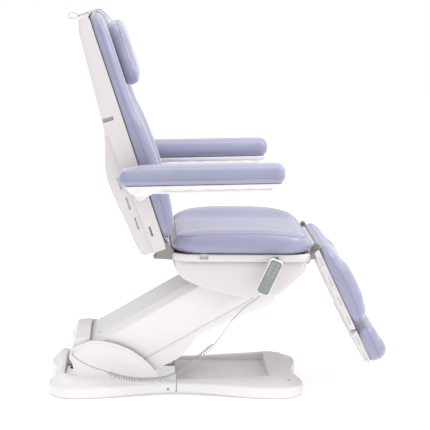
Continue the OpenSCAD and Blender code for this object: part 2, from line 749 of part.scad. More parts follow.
back_y = back_w / 2 - 6;
back_u0 = 14;
back_u1 = back_u0 + back_l;
bolster_end = 470;
low_t = 27;            // thickness where the cushion meets the seat
top_e = 18;            // edge radius of the cushion's top
module back_frame() color(steel) difference() {
    union() {
        on_back() {
            both() translate([20, 188, -22]) cube([680, 22, 22 - gap]);
            for (u = [60, 360, 680]) translate([u, -190, -22]) cube([22, 380, 22 - gap]);
            both() translate([20, 205, -22]) cube([24, lug_y + lug_t / 2 - 205, 14]);
            both() for (u = [150, 600]) translate([u, 209, -20]) cube([20, back_y - wall - 209, 6]);
        }
        both() slab(lug_y - lug_t / 2, lug_y + lug_t / 2) intersection() {
            bar([hinge_x, hinge_z], [hinge_x - 32, hinge_z + 28], 12);
            translate([-200, 480]) square([300, 200]);
        }
        slab(crank_y, crank_y + 8) {
            bar([hinge_x, hinge_z], back_c, 9);
            bar([hinge_x, hinge_z], [hinge_x - 36, hinge_z + 28], 9);
        }
        translate([back_c[0], 0, back_c[1]]) rod_y(pin_r, side_y - 12, crank_y + 2);
        both() translate([boss_x, 0, boss_z]) rod_y(8, 200, link_y + 1);
    }
    both() translate([hinge_x, 0, hinge_z]) rod_y(pin_r + run, lug_y - 10, lug_y + 10);
}

module back_section(t) offset(delta = -t) polygon([[-8, -4], [-10, -90], [33, -98], [129, -106],
    [225, -118], [281, -120], [332, -111], [400, -88], [441, -76], [490, -72], [642, -60],
    [788, -50], [818, -38], [824, -14], [824, 0], [10, 0]]);
module back_shell() color(shade_white) on_back() difference() {
    slab(-back_y, back_y) back_section(0);
    slab(-back_y + wall, back_y - wall) {
        back_section(wall);
        translate([14, -20]) square([806, 30]);
    }
    both() translate([-30, bracket_y - 8, -70]) cube([60, 16, 90]);
    both() translate([-30, lug_y - 8, -30]) cube([50, 16, 60]);
    translate([-30, side_y - 24, -70]) cube([64, 48, 72]);
    both() translate([196, back_y - 10, -34]) cube([18, 20, 18]);
}

// Thinner where it meets the seat and behind the head, with pockets for the hinge lugs
module back_cushion() color(lavender) on_back() difference() {
    union() {
        pad(back_u0, back_u1 - 60, -back_w / 2, back_w / 2, 0, low_t, 60, 13);
        pad(back_u0 + 36, back_u1, -back_w / 2, back_w / 2, 0, head_t, 60, top_e);
        both() pad(back_u0 + 50, bolster_end, back_w / 2 - 130, back_w / 2, 0, bolster_t, 50, 20);
    }
    both() translate([0, lug_y - 7, -1]) cube([36, 14, 8]);
}

pillow_u = [554, 780];
pillow_t = 54;
pillow_w = 380;
module head_pillow() color(lavender) on_back()
    pad(pillow_u[0], pillow_u[1], -pillow_w / 2, pillow_w / 2, head_t, head_t + pillow_t, 60, 24);

// Elastic band from the pillow over the top of the backrest, and its pull loop behind
strap_t = 2;
strap_w = 38;
function arc(c, r, a0, a1, n) = [for (i = [0 : n]) let (a = a0 + (a1 - a0) * i / n)
    c + r * [cos(a), sin(a)]];
band_c = [back_u1 - top_e, head_t - top_e];
band_up = pillow_u[1] + gap;
module pillow_strap() color("#8f92b4") on_back() slab(-strap_w / 2, strap_w / 2) polygon(concat(
    [[band_up, head_t + 20], [band_up, head_t + 20 + strap_t]],
    arc(band_c, top_e + gap + strap_t, 80, 0, 8), [[back_u1 + gap + strap_t, -44],
    [back_u1 + gap, -44]], arc(band_c, top_e + gap, 0, 80, 8)));
module strap_loop() color("#c9cad6") on_back() difference() {
    slab(-7, 7) translate([back_u1 - 3, -44]) polygon([[0, 0], [14, -2], [26, -26], [18, -36],
        [4, -34], [-2, -14]]);
    slab(-8, 8) translate([back_u1 - 3, -44]) polygon([[3, -4], [13, -5], [23, -26], [17, -33],
        [6, -31], [1, -14]]);
}

// ---------- armrests ----------

link_y = 303;
module armrest_link() color(white) difference() {
    union() {
        slab(link_y - 7, link_y + 7) translate([boss_x, boss_z]) circle(22);
        translate([boss_x, 0, boss_z]) rod_y(8, link_y + 5, link_y + 31);
    }
    translate([boss_x, 0, boss_z]) rod_y(8 + run, 0, link_y + 2);
}
module armrest_link_left() armrest_link();
module armrest_link_right() mirror([0, 1, 0]) armrest_link();

function rest_under(x) = rest_z + (x - rest_x) * tan(rest_tilt);
module plate_outline(t) polygon([[-187 + t, rest_under(-187)], [-176 + t, 764 + t],
    [-152, 742 + t], [-112, 738 + t], [-92, 762 + t], [65, 765 + t], [308 - t, 775 + t],
    [345 - t, rest_under(345)]]);
rest_in = rest_y - rest_w / 2 + 10;
module armrest_plate() color(white) difference() {
    union() {
        difference() {
            slab(rest_in, rest_y + rest_w / 2 - 10) plate_outline(0);
            slab(rest_in + wall, rest_y + rest_w / 2 - 10 - wall) {
                plate_outline(wall);
                translate([0, -2 * wall]) plate_outline(wall);
            }
        }
        slab(link_y + 8, link_y + 28) translate([boss_x, boss_z]) circle(20);
    }
    translate([boss_x, 0, boss_z]) rod_y(8 + run, 0, link_y + 60);
}
module armrest_plate_left() armrest_plate();
module armrest_plate_right() mirror([0, 1, 0]) armrest_plate();

module armrest_pad() color(lavender) translate([rest_x, 0, rest_z]) rotate([0, -rest_tilt, 0])
    pad(0, rest_l, rest_y - rest_w / 2, rest_y + rest_w / 2, 0, rest_t, 30, 22);
module armrest_pad_left() armrest_pad();
module armrest_pad_right() mirror([0, 1, 0]) armrest_pad();

// ---------- leg rest ----------

guide_v = [206, 274];  // guides of the foot section's rails
guide_in = 80;
guide_out = 100;
module leg_frame() color(steel) difference() {
    union() {
        on_leg() {
            both() translate([24, 188, -18]) cube([270, 22, 18]);
            for (v = guide_v) translate([v, -190, -5]) cube([22, 380, 5]);
            both() translate([24, 205, -17]) cube([20, lug_y + lug_t / 2 - 205, 13]);
            both() for (v = guide_v) translate([v + 3, guide_in - 4, -17]) difference() {
                cube([16, guide_out - guide_in + 8, 13]);
                translate([-1, 4 - run, 3 - run])
                    cube([18, guide_out - guide_in + 2 * run, 7 + 2 * run]);
            }
        }
        both() slab(lug_y - lug_t / 2, lug_y + lug_t / 2)
            bar([knee_x, knee_z], [knee_x - 2, knee_z - 34], 10);
        slab(-crank_y - 8, -crank_y) {
            bar([knee_x, knee_z], leg_f, 7.5);
            bar([knee_x, knee_z], [knee_x - 4, knee_z - 36], 7.5);
        }
        translate([leg_f[0], 0, leg_f[1]]) rod_y(pin_r, -crank_y - 2, -side_y + 12);
    }
    both() translate([knee_x, 0, knee_z]) rod_y(pin_r + run, lug_y - 10, lug_y + 10);
}

leg_y = leg_w / 2 - 8;
module leg_shell() color(white) on_leg() difference() {
    translate([leg_v0 + 2, -leg_y, -21]) cube([leg_l - 2, 2 * leg_y, 21]);
    translate([leg_v0 + 5, -leg_y + 3, -18]) cube([leg_l + 3, 2 * leg_y - 6, 30]);
    both() translate([-10, lug_y - 8, -40]) cube([52, 30, 60]);
    translate([-10, -side_y - 26, -40]) cube([48, 50, 60]);
}

// Thinner towards the knee, with pockets for the hinge lugs and the crank
module leg_cushion() color(lavender) on_leg() difference() {
    union() {
        pad(leg_v0, leg_v0 + leg_l, -leg_w / 2, leg_w / 2, 0, leg_t - 24, 60, 20);
        pad(leg_v0 + 90, leg_v0 + leg_l, -leg_w / 2, leg_w / 2, 0, leg_t, 60, foot_round);
    }
    both() translate([0, lug_y - 7, -1]) cube([22, 14, 12]);
    translate([0, -crank_y - 12, -1]) cube([22, 16, 12]);
}

module foot_frame() color(steel) on_leg() {
    both() translate([44, guide_in, -14]) cube([foot_v0 + foot_l - 70, guide_out - guide_in, 7]);
    translate([foot_v0 + 20, -guide_out, -19]) cube([22, 2 * guide_out, 19]);
}

foot_y = leg_w / 2 - 12;
module foot_shell() color(white) on_leg() difference() {
    translate([foot_v0 + 2, -foot_y, -22]) cube([foot_l - 14, 2 * foot_y, 22]);
    translate([foot_v0 - 1, -foot_y + 3, -19]) cube([foot_l - 14, 2 * foot_y - 6, 30]);
}
module foot_cushion() color(lavender) on_leg()
    pad(foot_v0, foot_v0 + foot_l, -leg_w / 2, leg_w / 2, 0, leg_t - 4, 40, foot_round);

// ---------- cord ----------

module cord_coil() color("#d8d8da") tube(smooth(coil_path, 3), coil_r, 12);
module cord_leads() color("#d8d8da") {
    tube(smooth(lead_low, 3), cord_r, 8);
    tube(smooth(lead_high, 2), cord_r, 8);
}

module in_row() translate([-row_x, 0, 0]) children();
in_row() base_frame();
in_row() base_cover_rear();
in_row() base_cover_front();
in_row() cheek_left();
in_row() cheek_right();
in_row() levelling_feet();
in_row() base_screws();
in_row() control_box();
in_row() cord_gland();
in_row() mains_inlet();
in_row() base_shafts();
in_row() arm_frame();
in_row() arm_cover_upper();
in_row() arm_cover_lower();
in_row() arm_end_cap();
in_row() arm_screws();
in_row() arm_shafts();
in_row() tie_bar();
in_row() lift_motor();
in_row() lift_rod();
in_row() seat_frame();
in_row() seat_shell();
in_row() seat_board();
in_row() seat_cushion();
in_row() hinge_brackets();
in_row() handset_hook();
in_row() handset_case();
in_row() handset_face();
in_row() key_1();
in_row() key_2();
in_row() key_3();
in_row() key_4();
in_row() key_5();
in_row() key_6();
in_row() key_7();
in_row() key_8();
in_row() back_frame();
in_row() back_shell();
in_row() back_cushion();
in_row() head_pillow();
in_row() pillow_strap();
in_row() strap_loop();
in_row() armrest_link_left();
in_row() armrest_link_right();
in_row() armrest_plate_left();
in_row() armrest_plate_right();
in_row() armrest_pad_left();
in_row() armrest_pad_right();
in_row() leg_frame();
in_row() leg_shell();
in_row() leg_cushion();
in_row() foot_frame();
in_row() foot_shell();
in_row() foot_cushion();
in_row() back_motor();
in_row() back_rod();
in_row() leg_motor();
in_row() leg_rod();
in_row() cord_coil();
in_row() cord_leads();
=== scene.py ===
"""Looks of a powered treatment chair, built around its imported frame. Metres, +Z up."""

import json
import math
from collections import namedtuple

import bmesh
import bpy
from mathutils import Matrix, Vector
from mathutils.bvhtree import BVHTree


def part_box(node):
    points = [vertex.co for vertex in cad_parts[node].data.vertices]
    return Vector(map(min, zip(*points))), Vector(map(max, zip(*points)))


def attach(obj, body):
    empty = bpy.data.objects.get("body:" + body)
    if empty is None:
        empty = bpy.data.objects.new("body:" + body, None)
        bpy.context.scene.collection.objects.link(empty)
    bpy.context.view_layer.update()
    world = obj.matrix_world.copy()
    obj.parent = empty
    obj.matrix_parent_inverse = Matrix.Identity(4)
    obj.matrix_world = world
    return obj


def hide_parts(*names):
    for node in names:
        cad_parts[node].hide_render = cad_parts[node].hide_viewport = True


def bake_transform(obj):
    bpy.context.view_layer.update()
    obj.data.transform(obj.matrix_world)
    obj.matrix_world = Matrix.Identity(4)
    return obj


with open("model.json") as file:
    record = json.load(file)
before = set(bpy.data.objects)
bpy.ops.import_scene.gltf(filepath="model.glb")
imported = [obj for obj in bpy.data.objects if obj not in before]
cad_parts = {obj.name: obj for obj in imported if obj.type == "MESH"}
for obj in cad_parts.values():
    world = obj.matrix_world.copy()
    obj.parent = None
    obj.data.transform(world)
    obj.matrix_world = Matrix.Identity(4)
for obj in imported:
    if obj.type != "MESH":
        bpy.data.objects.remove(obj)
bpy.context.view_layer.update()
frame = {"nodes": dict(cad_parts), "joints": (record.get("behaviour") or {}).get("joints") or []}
scene = bpy.context.scene
NODES = frame["nodes"]
JOINTS = {joint["name"]: joint for joint in frame["joints"]}

MM = 0.001
SAME_POINT = 1e-6
SIDES = (("left", 1), ("right", -1))
LOWER_PIVOT = (-257, 133)  # the lifting arm's lower pivot, from the base's middle on the floor
ARM_SLOPE = math.radians(30.3)
BACK_SLOPE = math.radians(71.2)
LEG_SLOPE = math.radians(64.0)

# A side view's plane; a point in it is so many millimetres along and out from its origin
Plane = namedtuple("Plane", "origin along out")


def on_middle(name):
    """A joint's place, moved across to the middle plane."""
    x, _, z = JOINTS[name]["pos_m"]
    return Vector((x, 0, z))


FLOOR_MIDDLE = on_middle("lift") - Vector((LOWER_PIVOT[0] / 1000, 0, LOWER_PIVOT[1] / 1000))
FLAT = Plane(FLOOR_MIDDLE, Vector((1, 0, 0)), Vector((0, 0, 1)))
ARM = Plane(
    on_middle("lift"),
    Vector((math.cos(ARM_SLOPE), 0, math.sin(ARM_SLOPE))),
    Vector((-math.sin(ARM_SLOPE), 0, math.cos(ARM_SLOPE))),
)
BACK = Plane(
    on_middle("recline"),
    Vector((-math.cos(BACK_SLOPE), 0, math.sin(BACK_SLOPE))),
    Vector((math.sin(BACK_SLOPE), 0, math.cos(BACK_SLOPE))),
)
LEG = Plane(
    on_middle("leg_lift"),
    Vector((math.cos(LEG_SLOPE), 0, -math.sin(LEG_SLOPE))),
    Vector((math.sin(LEG_SLOPE), 0, math.cos(LEG_SLOPE))),
)


def spot(plane, along, across, out):
    """A point of the row, from millimetres in a plane and across it."""
    return plane.origin + (along * plane.along + out * plane.out) * MM + Vector((0, across * MM, 0))


def on_side(s, near, far):
    """The span from near to far millimetres off the middle, on the side that s gives."""
    return sorted((s * near, s * far))


def ease(t):
    """0 to 1 with a soft start and a soft end."""
    t = min(max(t, 0.0), 1.0)
    return t * t * (3 - 2 * t)


def between(table, x):
    """The value at x of a smooth curve through (place, value) pairs."""
    if x <= table[0][0]:
        return table[0][1]
    for (x0, v0), (x1, v1) in zip(table, table[1:]):
        if x <= x1:
            return v0 + (v1 - v0) * ease((x - x0) / (x1 - x0))
    return table[-1][1]


# ---------------------------------------------------------------- materials


NOISE_LOW, NOISE_HIGH = 0.3, 0.7  # most of a noise texture's values lie between these


def shader(name, colour, roughness, metallic=0.0):
    """A new material: itself, its node tree and its Principled shader."""
    made = bpy.data.materials.new(name)
    made.use_nodes = True
    tree = made.node_tree
    surface = tree.nodes["Principled BSDF"]
    surface.inputs["Base Color"].default_value = (*colour, 1)
    surface.inputs["Roughness"].default_value = roughness
    surface.inputs["Metallic"].default_value = metallic
    made.diffuse_color = (*colour, 1)
    return made, tree, surface


def object_coordinates(tree, stretch=(1, 1, 1)):
    """Object coordinates, stretched on each axis."""
    where = tree.nodes.new("ShaderNodeTexCoord")
    mapping = tree.nodes.new("ShaderNodeMapping")
    mapping.inputs["Scale"].default_value = stretch
    tree.links.new(where.outputs["Object"], mapping.inputs["Vector"])
    return mapping.outputs["Vector"]


def noise(tree, where, scale, detail=3.0):
    node = tree.nodes.new("ShaderNodeTexNoise")
    node.inputs["Scale"].default_value = scale
    node.inputs["Detail"].default_value = detail
    tree.links.new(where, node.inputs["Vector"])
    return node.outputs["Fac"]


def spread(tree, value, low, high):
    """A noise value spread out between low and high."""
    node = tree.nodes.new("ShaderNodeMapRange")
    node.inputs["From Min"].default_value = NOISE_LOW
    node.inputs["From Max"].default_value = NOISE_HIGH
    node.inputs["To Min"].default_value = low
    node.inputs["To Max"].default_value = high
    tree.links.new(value, node.inputs["Value"])
    return node.outputs["Result"]


def vary_colour(tree, surface, value, dark, light):
    """Base colour from dark to light with a noise value."""
    ramp = tree.nodes.new("ShaderNodeValToRGB")
    ends = ((NOISE_LOW, dark), (NOISE_HIGH, light))
    for element, (position, colour) in zip(ramp.color_ramp.elements, ends):
        element.position = position
        element.color = (*colour, 1)
    tree.links.new(value, ramp.inputs["Fac"])
    tree.links.new(ramp.outputs["Color"], surface.inputs["Base Color"])


def bump(tree, surface, value, strength, distance):
    node = tree.nodes.new("ShaderNodeBump")
    node.inputs["Strength"].default_value = strength
    node.inputs["Distance"].default_value = distance
    tree.links.new(value, node.inputs["Height"])
    tree.links.new(node.outputs["Normal"], surface.inputs["Normal"])


def scaled(colour, factor):
    """The colour made lighter or darker."""
    return tuple(min(c * factor, 1.0) for c in colour)


def leatherette(name, colour):
    """Soft coated cloth: pebbled grain a millimetre across, on a broad change of tone."""
    made, tree, surface = shader(name, colour, 0.42)
    surface.inputs["Sheen Weight"].default_value = 0.65
    surface.inputs["Sheen Roughness"].default_value = 0.4
    where = object_coordinates(tree)
    broad = noise(tree, where, 7.0)
    vary_colour(tree, surface, broad, scaled(colour, 0.95), scaled(colour, 1.04))
    tree.links.new(spread(tree, noise(tree, where, 60.0), 0.30, 0.40), surface.inputs["Roughness"])
    grain = tree.nodes.new("ShaderNodeTexVoronoi")
    grain.inputs["Scale"].default_value = 850.0
    tree.links.new(where, grain.inputs["Vector"])
    bump(tree, surface, grain.outputs["Distance"], 0.16, 0.0004)
    return made


def moulded(name, colour, roughness=0.36, grain=0.02):
    """Injection-moulded plastic: faint ripple, polish that changes a little."""
    made, tree, surface = shader(name, colour, roughness)
    where = object_coordinates(tree)
    vary_colour(tree, surface, noise(tree, where, 4.0), scaled(colour, 0.975), colour)
    fine = noise(tree, where, 90.0)
    polish = spread(tree, fine, roughness * 0.85, roughness * 1.2)
    tree.links.new(polish, surface.inputs["Roughness"])
    bump(tree, surface, noise(tree, where, 320.0), grain, 0.0004)
    return made


def brushed(name, colour, roughness=0.34):
    """Bare steel with fine lines along Y."""
    made, tree, surface = shader(name, colour, roughness, 1.0)
    lines = noise(tree, object_coordinates(tree, (900, 12, 900)), 1.0)
    polish = spread(tree, lines, roughness * 0.7, roughness * 1.3)
    tree.links.new(polish, surface.inputs["Roughness"])
    vary_colour(tree, surface, lines, scaled(colour, 0.85), colour)
    bump(tree, surface, lines, 0.05, 0.0002)
    return made


def powder_coat(name, colour):
    """Baked paint with a fine orange-peel."""
    made, tree, surface = shader(name, colour, 0.45)
    where = object_coordinates(tree)
    vary_colour(tree, surface, noise(tree, where, 12.0), scaled(colour, 0.9), colour)
    bump(tree, surface, noise(tree, where, 700.0), 0.15, 0.0003)
    return made


def soft_black(name, colour, roughness):
    """Black plastic or rubber with a fine grain."""
    made, tree, surface = shader(name, colour, roughness)
    where = object_coordinates(tree)
    vary_colour(tree, surface, noise(tree, where, 25.0), scaled(colour, 0.7), scaled(colour, 1.3))
    bump(tree, surface, noise(tree, where, 900.0), 0.2, 0.0002)
    return made


def plywood(name, colour):
    """Wood with grain along X."""
    made, tree, surface = shader(name, colour, 0.6)
    rings = noise(tree, object_coordinates(tree, (3, 60, 60)), 2.0, 6.0)
    vary_colour(tree, surface, rings, scaled(colour, 0.7), colour)
    bump(tree, surface, rings, 0.2, 0.0005)
    return made


def webbing(name, colour):
    """Woven elastic: ribs across the band."""
    made, tree, surface = shader(name, colour, 0.75)
    wave = tree.nodes.new("ShaderNodeTexWave")
    wave.inputs["Scale"].default_value = 260.0
    wave.bands_direction = "Y"
    where = object_coordinates(tree)
    tree.links.new(where, wave.inputs["Vector"])
    vary_colour(tree, surface, wave.outputs["Fac"], scaled(colour, 0.8), colour)
    bump(tree, surface, wave.outputs["Fac"], 0.4, 0.0004)
    return made


LAVENDER = leatherette("lavender_leatherette", (0.30, 0.303, 0.425))
# Painted shade: a darker copy of the cover's leatherette, for the shade in the crease along each
# seam.
SEAM_SHADE = leatherette("seam_lavender_painted_shade", (0.235, 0.238, 0.35))
THREAD = webbing("thread_lavender", (0.385, 0.39, 0.52))
BAND = webbing("elastic_band", (0.36, 0.37, 0.50))
LOOP = webbing("pull_loop", (0.62, 0.63, 0.70))
WHITE = moulded("white_plastic", (0.825, 0.80, 0.815))
# Painted shade: the shells are the same white plastic, and this darker copy stands for the shade on
# their undersides and backs.
WHITE_IN_PAINTED_SHADE = moulded("shell_plastic", (0.68, 0.64, 0.655), 0.42)
# Painted shade: this dark grey is laid on the faces that cutters leave in recesses, notches, slots
# and grooves. It also draws the hand control's dark parting line.
SHADE_AND_JOINT_GREY = moulded("recess_shade_and_joint_grey", (0.36, 0.34, 0.35), 0.5)
STEEL = brushed("bracket_steel", (0.30, 0.275, 0.265))
CHROME = brushed("bright_steel", (0.62, 0.61, 0.60), 0.2)
FRAME_GREY = powder_coat("frame_grey", (0.40, 0.40, 0.41))
BLACK = soft_black("motor_black", (0.03, 0.03, 0.032), 0.5)
RUBBER = soft_black("foot_rubber", (0.025, 0.025, 0.025), 0.8)
PLY = plywood("seat_plywood", (0.55, 0.42, 0.27))
CASE = moulded("handset_white", (0.80, 0.80, 0.79), 0.3)
PANEL = moulded("handset_panel", (0.255, 0.275, 0.258), 0.5, 0.05)
KEY = moulded("key_film", (0.38, 0.405, 0.385), 0.5, 0.05)
MARK = moulded("key_mark", (0.10, 0.12, 0.12), 0.5)
# Painted shade: the cord's wire is white, and this mid-grey, used on the whole cord, stands for the
# shade between the coil's turns.
CORD_SHADE_GREY = moulded("cord_cover", (0.42, 0.42, 0.425), 0.45, 0.05)


# ---------------------------------------------------------------- mesh tools


def piece_from(name, points, faces, surface):
    """A new object of points in the row, with one surface."""
    mesh = bpy.data.meshes.new(name)
    mesh.from_pydata([tuple(p) for p in points], [], faces)
    mesh.materials.append(surface)
    made = bpy.data.objects.new(name, mesh)
    scene.collection.objects.link(made)
    return made


def plate_faces(count):
    """Faces of a plate: two outlines of count points each, one after the other."""
    faces = [tuple(range(count)), tuple(range(2 * count - 1, count - 1, -1))]
    return faces + [(i, (i + 1) % count, count + (i + 1) % count, count + i) for i in range(count)]


def ring_faces(rows, count, closed=False):
    """Faces between rows of count points, each row a ring; closed joins the last to the first."""
    faces = []
    for k in range(rows if closed else rows - 1):
        n = (k + 1) % rows
        for i in range(count):
            j = (i + 1) % count
            faces.append((k * count + i, k * count + j, n * count + j, n * count + i))
    return faces


def end_faces(total, count):
    """Faces that close the first and the last ring of total points."""
    return [tuple(range(count)), tuple(range(total - 1, total - count - 1, -1))]


def face_outwards(piece):
    """Merges doubles, then turns every face to the outside."""
    work = bmesh.new()
    work.from_mesh(piece.data)
    bmesh.ops.remove_doubles(work, verts=work.verts, dist=SAME_POINT)
    bmesh.ops.recalc_face_normals(work, faces=work.faces)
    work.to_mesh(piece.data)
    work.free()


def solid_from(name, points, faces, surface):
    """A closed piece, its faces outwards."""
    made = piece_from(name, points, faces, surface)
    face_outwards(made)
    return made


def settle(piece):
    """Replaces the piece's mesh by what its modifiers make of it."""
    bpy.context.view_layer.update()
    evaluated = piece.evaluated_get(bpy.context.evaluated_depsgraph_get())
    mesh = bpy.data.meshes.new_from_object(evaluated)
    old = piece.data
    piece.modifiers.clear()
    piece.data = mesh
    bpy.data.meshes.remove(old)


def refine(piece):
    """One level of subdivision."""
    finer = piece.modifiers.new("finer", "SUBSURF")
    finer.levels = 1
    finer.render_levels = 1
    settle(piece)


def smooth_shaded(piece, sharp):
    """Smooth shading, but for edges sharper than so many degrees."""
    piece.data.shade_smooth()
    piece.data.set_sharp_from_angle(angle=math.radians(sharp))


EDGE_ANGLE = 28  # degrees; an edge flatter than this is left as it is


def soften(piece, width, segments):
    """Rounds the piece's sharper edges, width in millimetres."""
    edge = piece.modifiers.new("edge", "BEVEL")
    edge.width = width * MM
    edge.segments = segments
    edge.limit_method = "ANGLE"
    edge.angle_limit = math.radians(EDGE_ANGLE)
    edge.harden_normals = True
    settle(piece)
    smooth_shaded(piece, 50)


def box_line(a0, a1, b0, b1):
    """The four corners of a rectangle in a side view."""
    return [(a0, b0), (a1, b0), (a1, b1), (a0, b1)]


def rounded(a0, a1, b0, b1, radius):
    """The same rectangle with round corners."""
    return filleted([(a, b, radius) for a, b in box_line(a0, a1, b0, b1)])


ARC_STEPS = 6


def filleted(corners):
    """A closed outline with an arc at each corner; a corner is (along, out, radius)."""
    outline = []
    count = len(corners)
    for i, (a, b, radius) in enumerate(corners):
        here = Vector((a, b))
        back = Vector(corners[i - 1][:2]) - here
        ahead = Vector(corners[(i + 1) % count][:2]) - here
        room = 0.48 * min(back.length, ahead.length)
        back.normalize()
        ahead.normalize()
        half = math.acos(max(-1, min(1, back.dot(ahead)))) / 2
        nearly_straight = half > math.radians(88)
        if radius <= 0 or nearly_straight:
            outline.append((a, b))
            continue
        cut = min(radius / math.tan(half), room)
        start, end = here + back * cut, here + ahead * cut
        for k in range(ARC_STEPS + 1):
            t = k / ARC_STEPS
            p = start * (1 - t) ** 2 + here * (2 * t * (1 - t)) + end * t**2
            outline.append((p.x, p.y))
    return outline


def slab(name, plane, outline, y0, y1, surface):
    """A plate: an outline of a side view, from y0 to y1 millimetres across."""
    points = [spot(plane, a, y, b) for y in (y0, y1) for a, b in outline]
    return solid_from(name, points, plate_faces(len(outline)), surface)


def block(name, low, high, surface):
    """A plain block between two corners in the row."""
    (x0, y0, z0), (x1, y1, z1) = low, high
    points = [(x, y, z) for x in (x0, x1) for y in (y0, y1) for z in (z0, z1)]
    faces = [(0, 1, 3, 2), (4, 6, 7, 5), (0, 4, 5, 1), (2, 3, 7, 6), (0, 2, 6, 4), (1, 5, 7, 3)]
    return solid_from(name, points, faces, surface)


def cut_away(piece, *cutters):
    """Cuts each cutter out of the piece, and removes it."""
    for cutter in cutters:
        step = piece.modifiers.new("cut", "BOOLEAN")
        step.operation = "DIFFERENCE"
        step.solver = "EXACT"
        step.object = cutter
        settle(piece)
        bpy.data.objects.remove(cutter)


def drawn_in(outline, depth):
    """The outline moved inwards by depth, mitred at its corners."""
    count = len(outline)
    pairs = [(outline[i - 1], outline[i]) for i in range(count)]
    turn = 1 if sum(p[0] * q[1] - q[0] * p[1] for p, q in pairs) > 0 else -1
    moved = []
    for i in range(count):
        p, q, r = (Vector(outline[k % count]) for k in (i - 1, i, i + 1))
        d0, d1 = (q - p).normalized(), (r - q).normalized()
        n0, n1 = Vector((-d0.y, d0.x)) * turn, Vector((-d1.y, d1.x)) * turn
        mitre = n0 + n1
        length = max(mitre.length, 0.2)
        moved.append(tuple(q + mitre / length * (2 * depth / length)))
    return moved


def tube(name, path, radius, sides, surface, taper=None):
    """A round tube along points of the row; taper(i) scales ring i."""
    points = []
    last = len(path) - 1
    side = Vector((0, 0, 1))
    for i, p in enumerate(path):
        ahead = (path[min(i + 1, last)] - path[max(i - 1, 0)]).normalized()
        side = (side - ahead * side.dot(ahead)).normalized()
        other = ahead.cross(side)
        size = radius * (taper(i) if taper else 1)
        for k in range(sides):
            angle = math.tau * k / sides
            points.append(p + size * (math.cos(angle) * side + math.sin(angle) * other))
    faces = ring_faces(len(path), sides)
    faces.append(tuple(range(sides - 1, -1, -1)))
    faces.append(tuple(last * sides + k for k in range(sides)))
    made = solid_from(name, points, faces, surface)
    smooth_shaded(made, 60)
    return made


def joined(name, pieces):
    """One object made of several pieces, each with its own surface."""
    work = bmesh.new()
    materials = []
    for part in pieces:
        for surface in part.data.materials:
            if surface not in materials:
                materials.append(surface)
        first = len(work.faces)
        work.from_mesh(part.data)
        work.faces.ensure_lookup_table()
        slots = [materials.index(m) for m in part.data.materials]
        for face in work.faces[first:]:
            face.material_index = slots[min(face.material_index, len(slots) - 1)]
    mesh = bpy.data.meshes.new(name)
    work.to_mesh(mesh)
    work.free()
    for surface in materials:
        mesh.materials.append(surface)
    for part in pieces:
        bpy.data.objects.remove(part)
    made = bpy.data.objects.new(name, mesh)
    scene.collection.objects.link(made)
    return made


def catmull(points, count):
    """Points of a smooth curve through the given ones, count to each stretch."""
    smooth = []
    last = len(points) - 1
    for i in range(last):
        p0, p1, p2, p3 = (points[min(max(k, 0), last)] for k in (i - 1, i, i + 1, i + 2))
        for k in range(count):
            t = k / count
            smooth.append(
                0.5 * (2 * p1 + (p2 - p0) * t + (2 * p0 - 5 * p1 + 4 * p2 - p3) * t * t
                       + (3 * p1 - p0 - 3 * p2 + p3) * t**3)
            )
    return smooth + [points[-1]]


# ---------------------------------------------------------------- camera

CAMERA_PLACE = FLOOR_MIDDLE + Vector((-0.162, -5.463, 1.560))
CAMERA_YAW = math.radians(3.16)
CAMERA_PITCH = math.radians(9.72)
CAMERA_ROLL = math.radians(0.93)
CAMERA_LENS = 127.4


def add_camera():
    lens = bpy.data.cameras.new("camera")
    lens.lens = CAMERA_LENS
    lens.sensor_width = 36
    lens.clip_end = 50
    eye = bpy.data.objects.new("camera", lens)
    scene.collection.objects.link(eye)
    yaw, pitch, roll = CAMERA_YAW, CAMERA_PITCH, CAMERA_ROLL
    ahead = Vector((math.sin(yaw) * math.cos(pitch),
                    math.cos(yaw) * math.cos(pitch), -math.sin(pitch)))
    level = Vector((math.cos(yaw), -math.sin(yaw), 0))
    rise = level.cross(ahead)
    right = math.cos(roll) * level + math.sin(roll) * rise
    up = -math.sin(roll) * level + math.cos(roll) * rise
    turn = Matrix((right, up, -ahead)).transposed().to_4x4()
    eye.matrix_world = Matrix.Translation(CAMERA_PLACE) @ turn
    scene.camera = eye


add_camera()

# ---------------------------------------------------------------- cord

LEAD_LOW = [[-371, -182, 150], [-371, -192, 150], [-368, -201, 148], [-361, -206, 143],
            [-346, -209, 132], [-324, -211, 119], [-294, -213, 107], [-268, -218, 100],
            [-252, -223, 96], [-244, -226, 92]]
COIL_PATH = [[-244, -226, 92], [-222, -231, 84], [-194, -238, 78], [-155, -245, 73],
             [-106, -252, 73], [-49, -262, 81], [-7, -270, 99], [34, -280, 131], [75, -290, 167],
             [110, -297, 199], [127, -300, 214]]
LEAD_HIGH = [[127, -300, 214], [140, -303, 232], [160, -307, 262], [188, -313, 304],
             [212, -317, 334], [236, -320, 358], [258, -321, 374], [274, -321, 386],
             [282, -321.5, 394], [286, -321.5, 401]]
CORD_D = 0.0040  # metres, as is the coil's radius
COIL_R = 0.0070
COIL_TURNS = 46
POINTS_A_TURN = 14
TURNS_DRAWN_IN = 0.8  # of the coil at each end, where it closes on its route


def in_row(route):
    """A route of (x, y, z) millimetres from the base's middle, as points of the row."""
    return [spot(FLAT, x, y, z) for x, y, z in route]


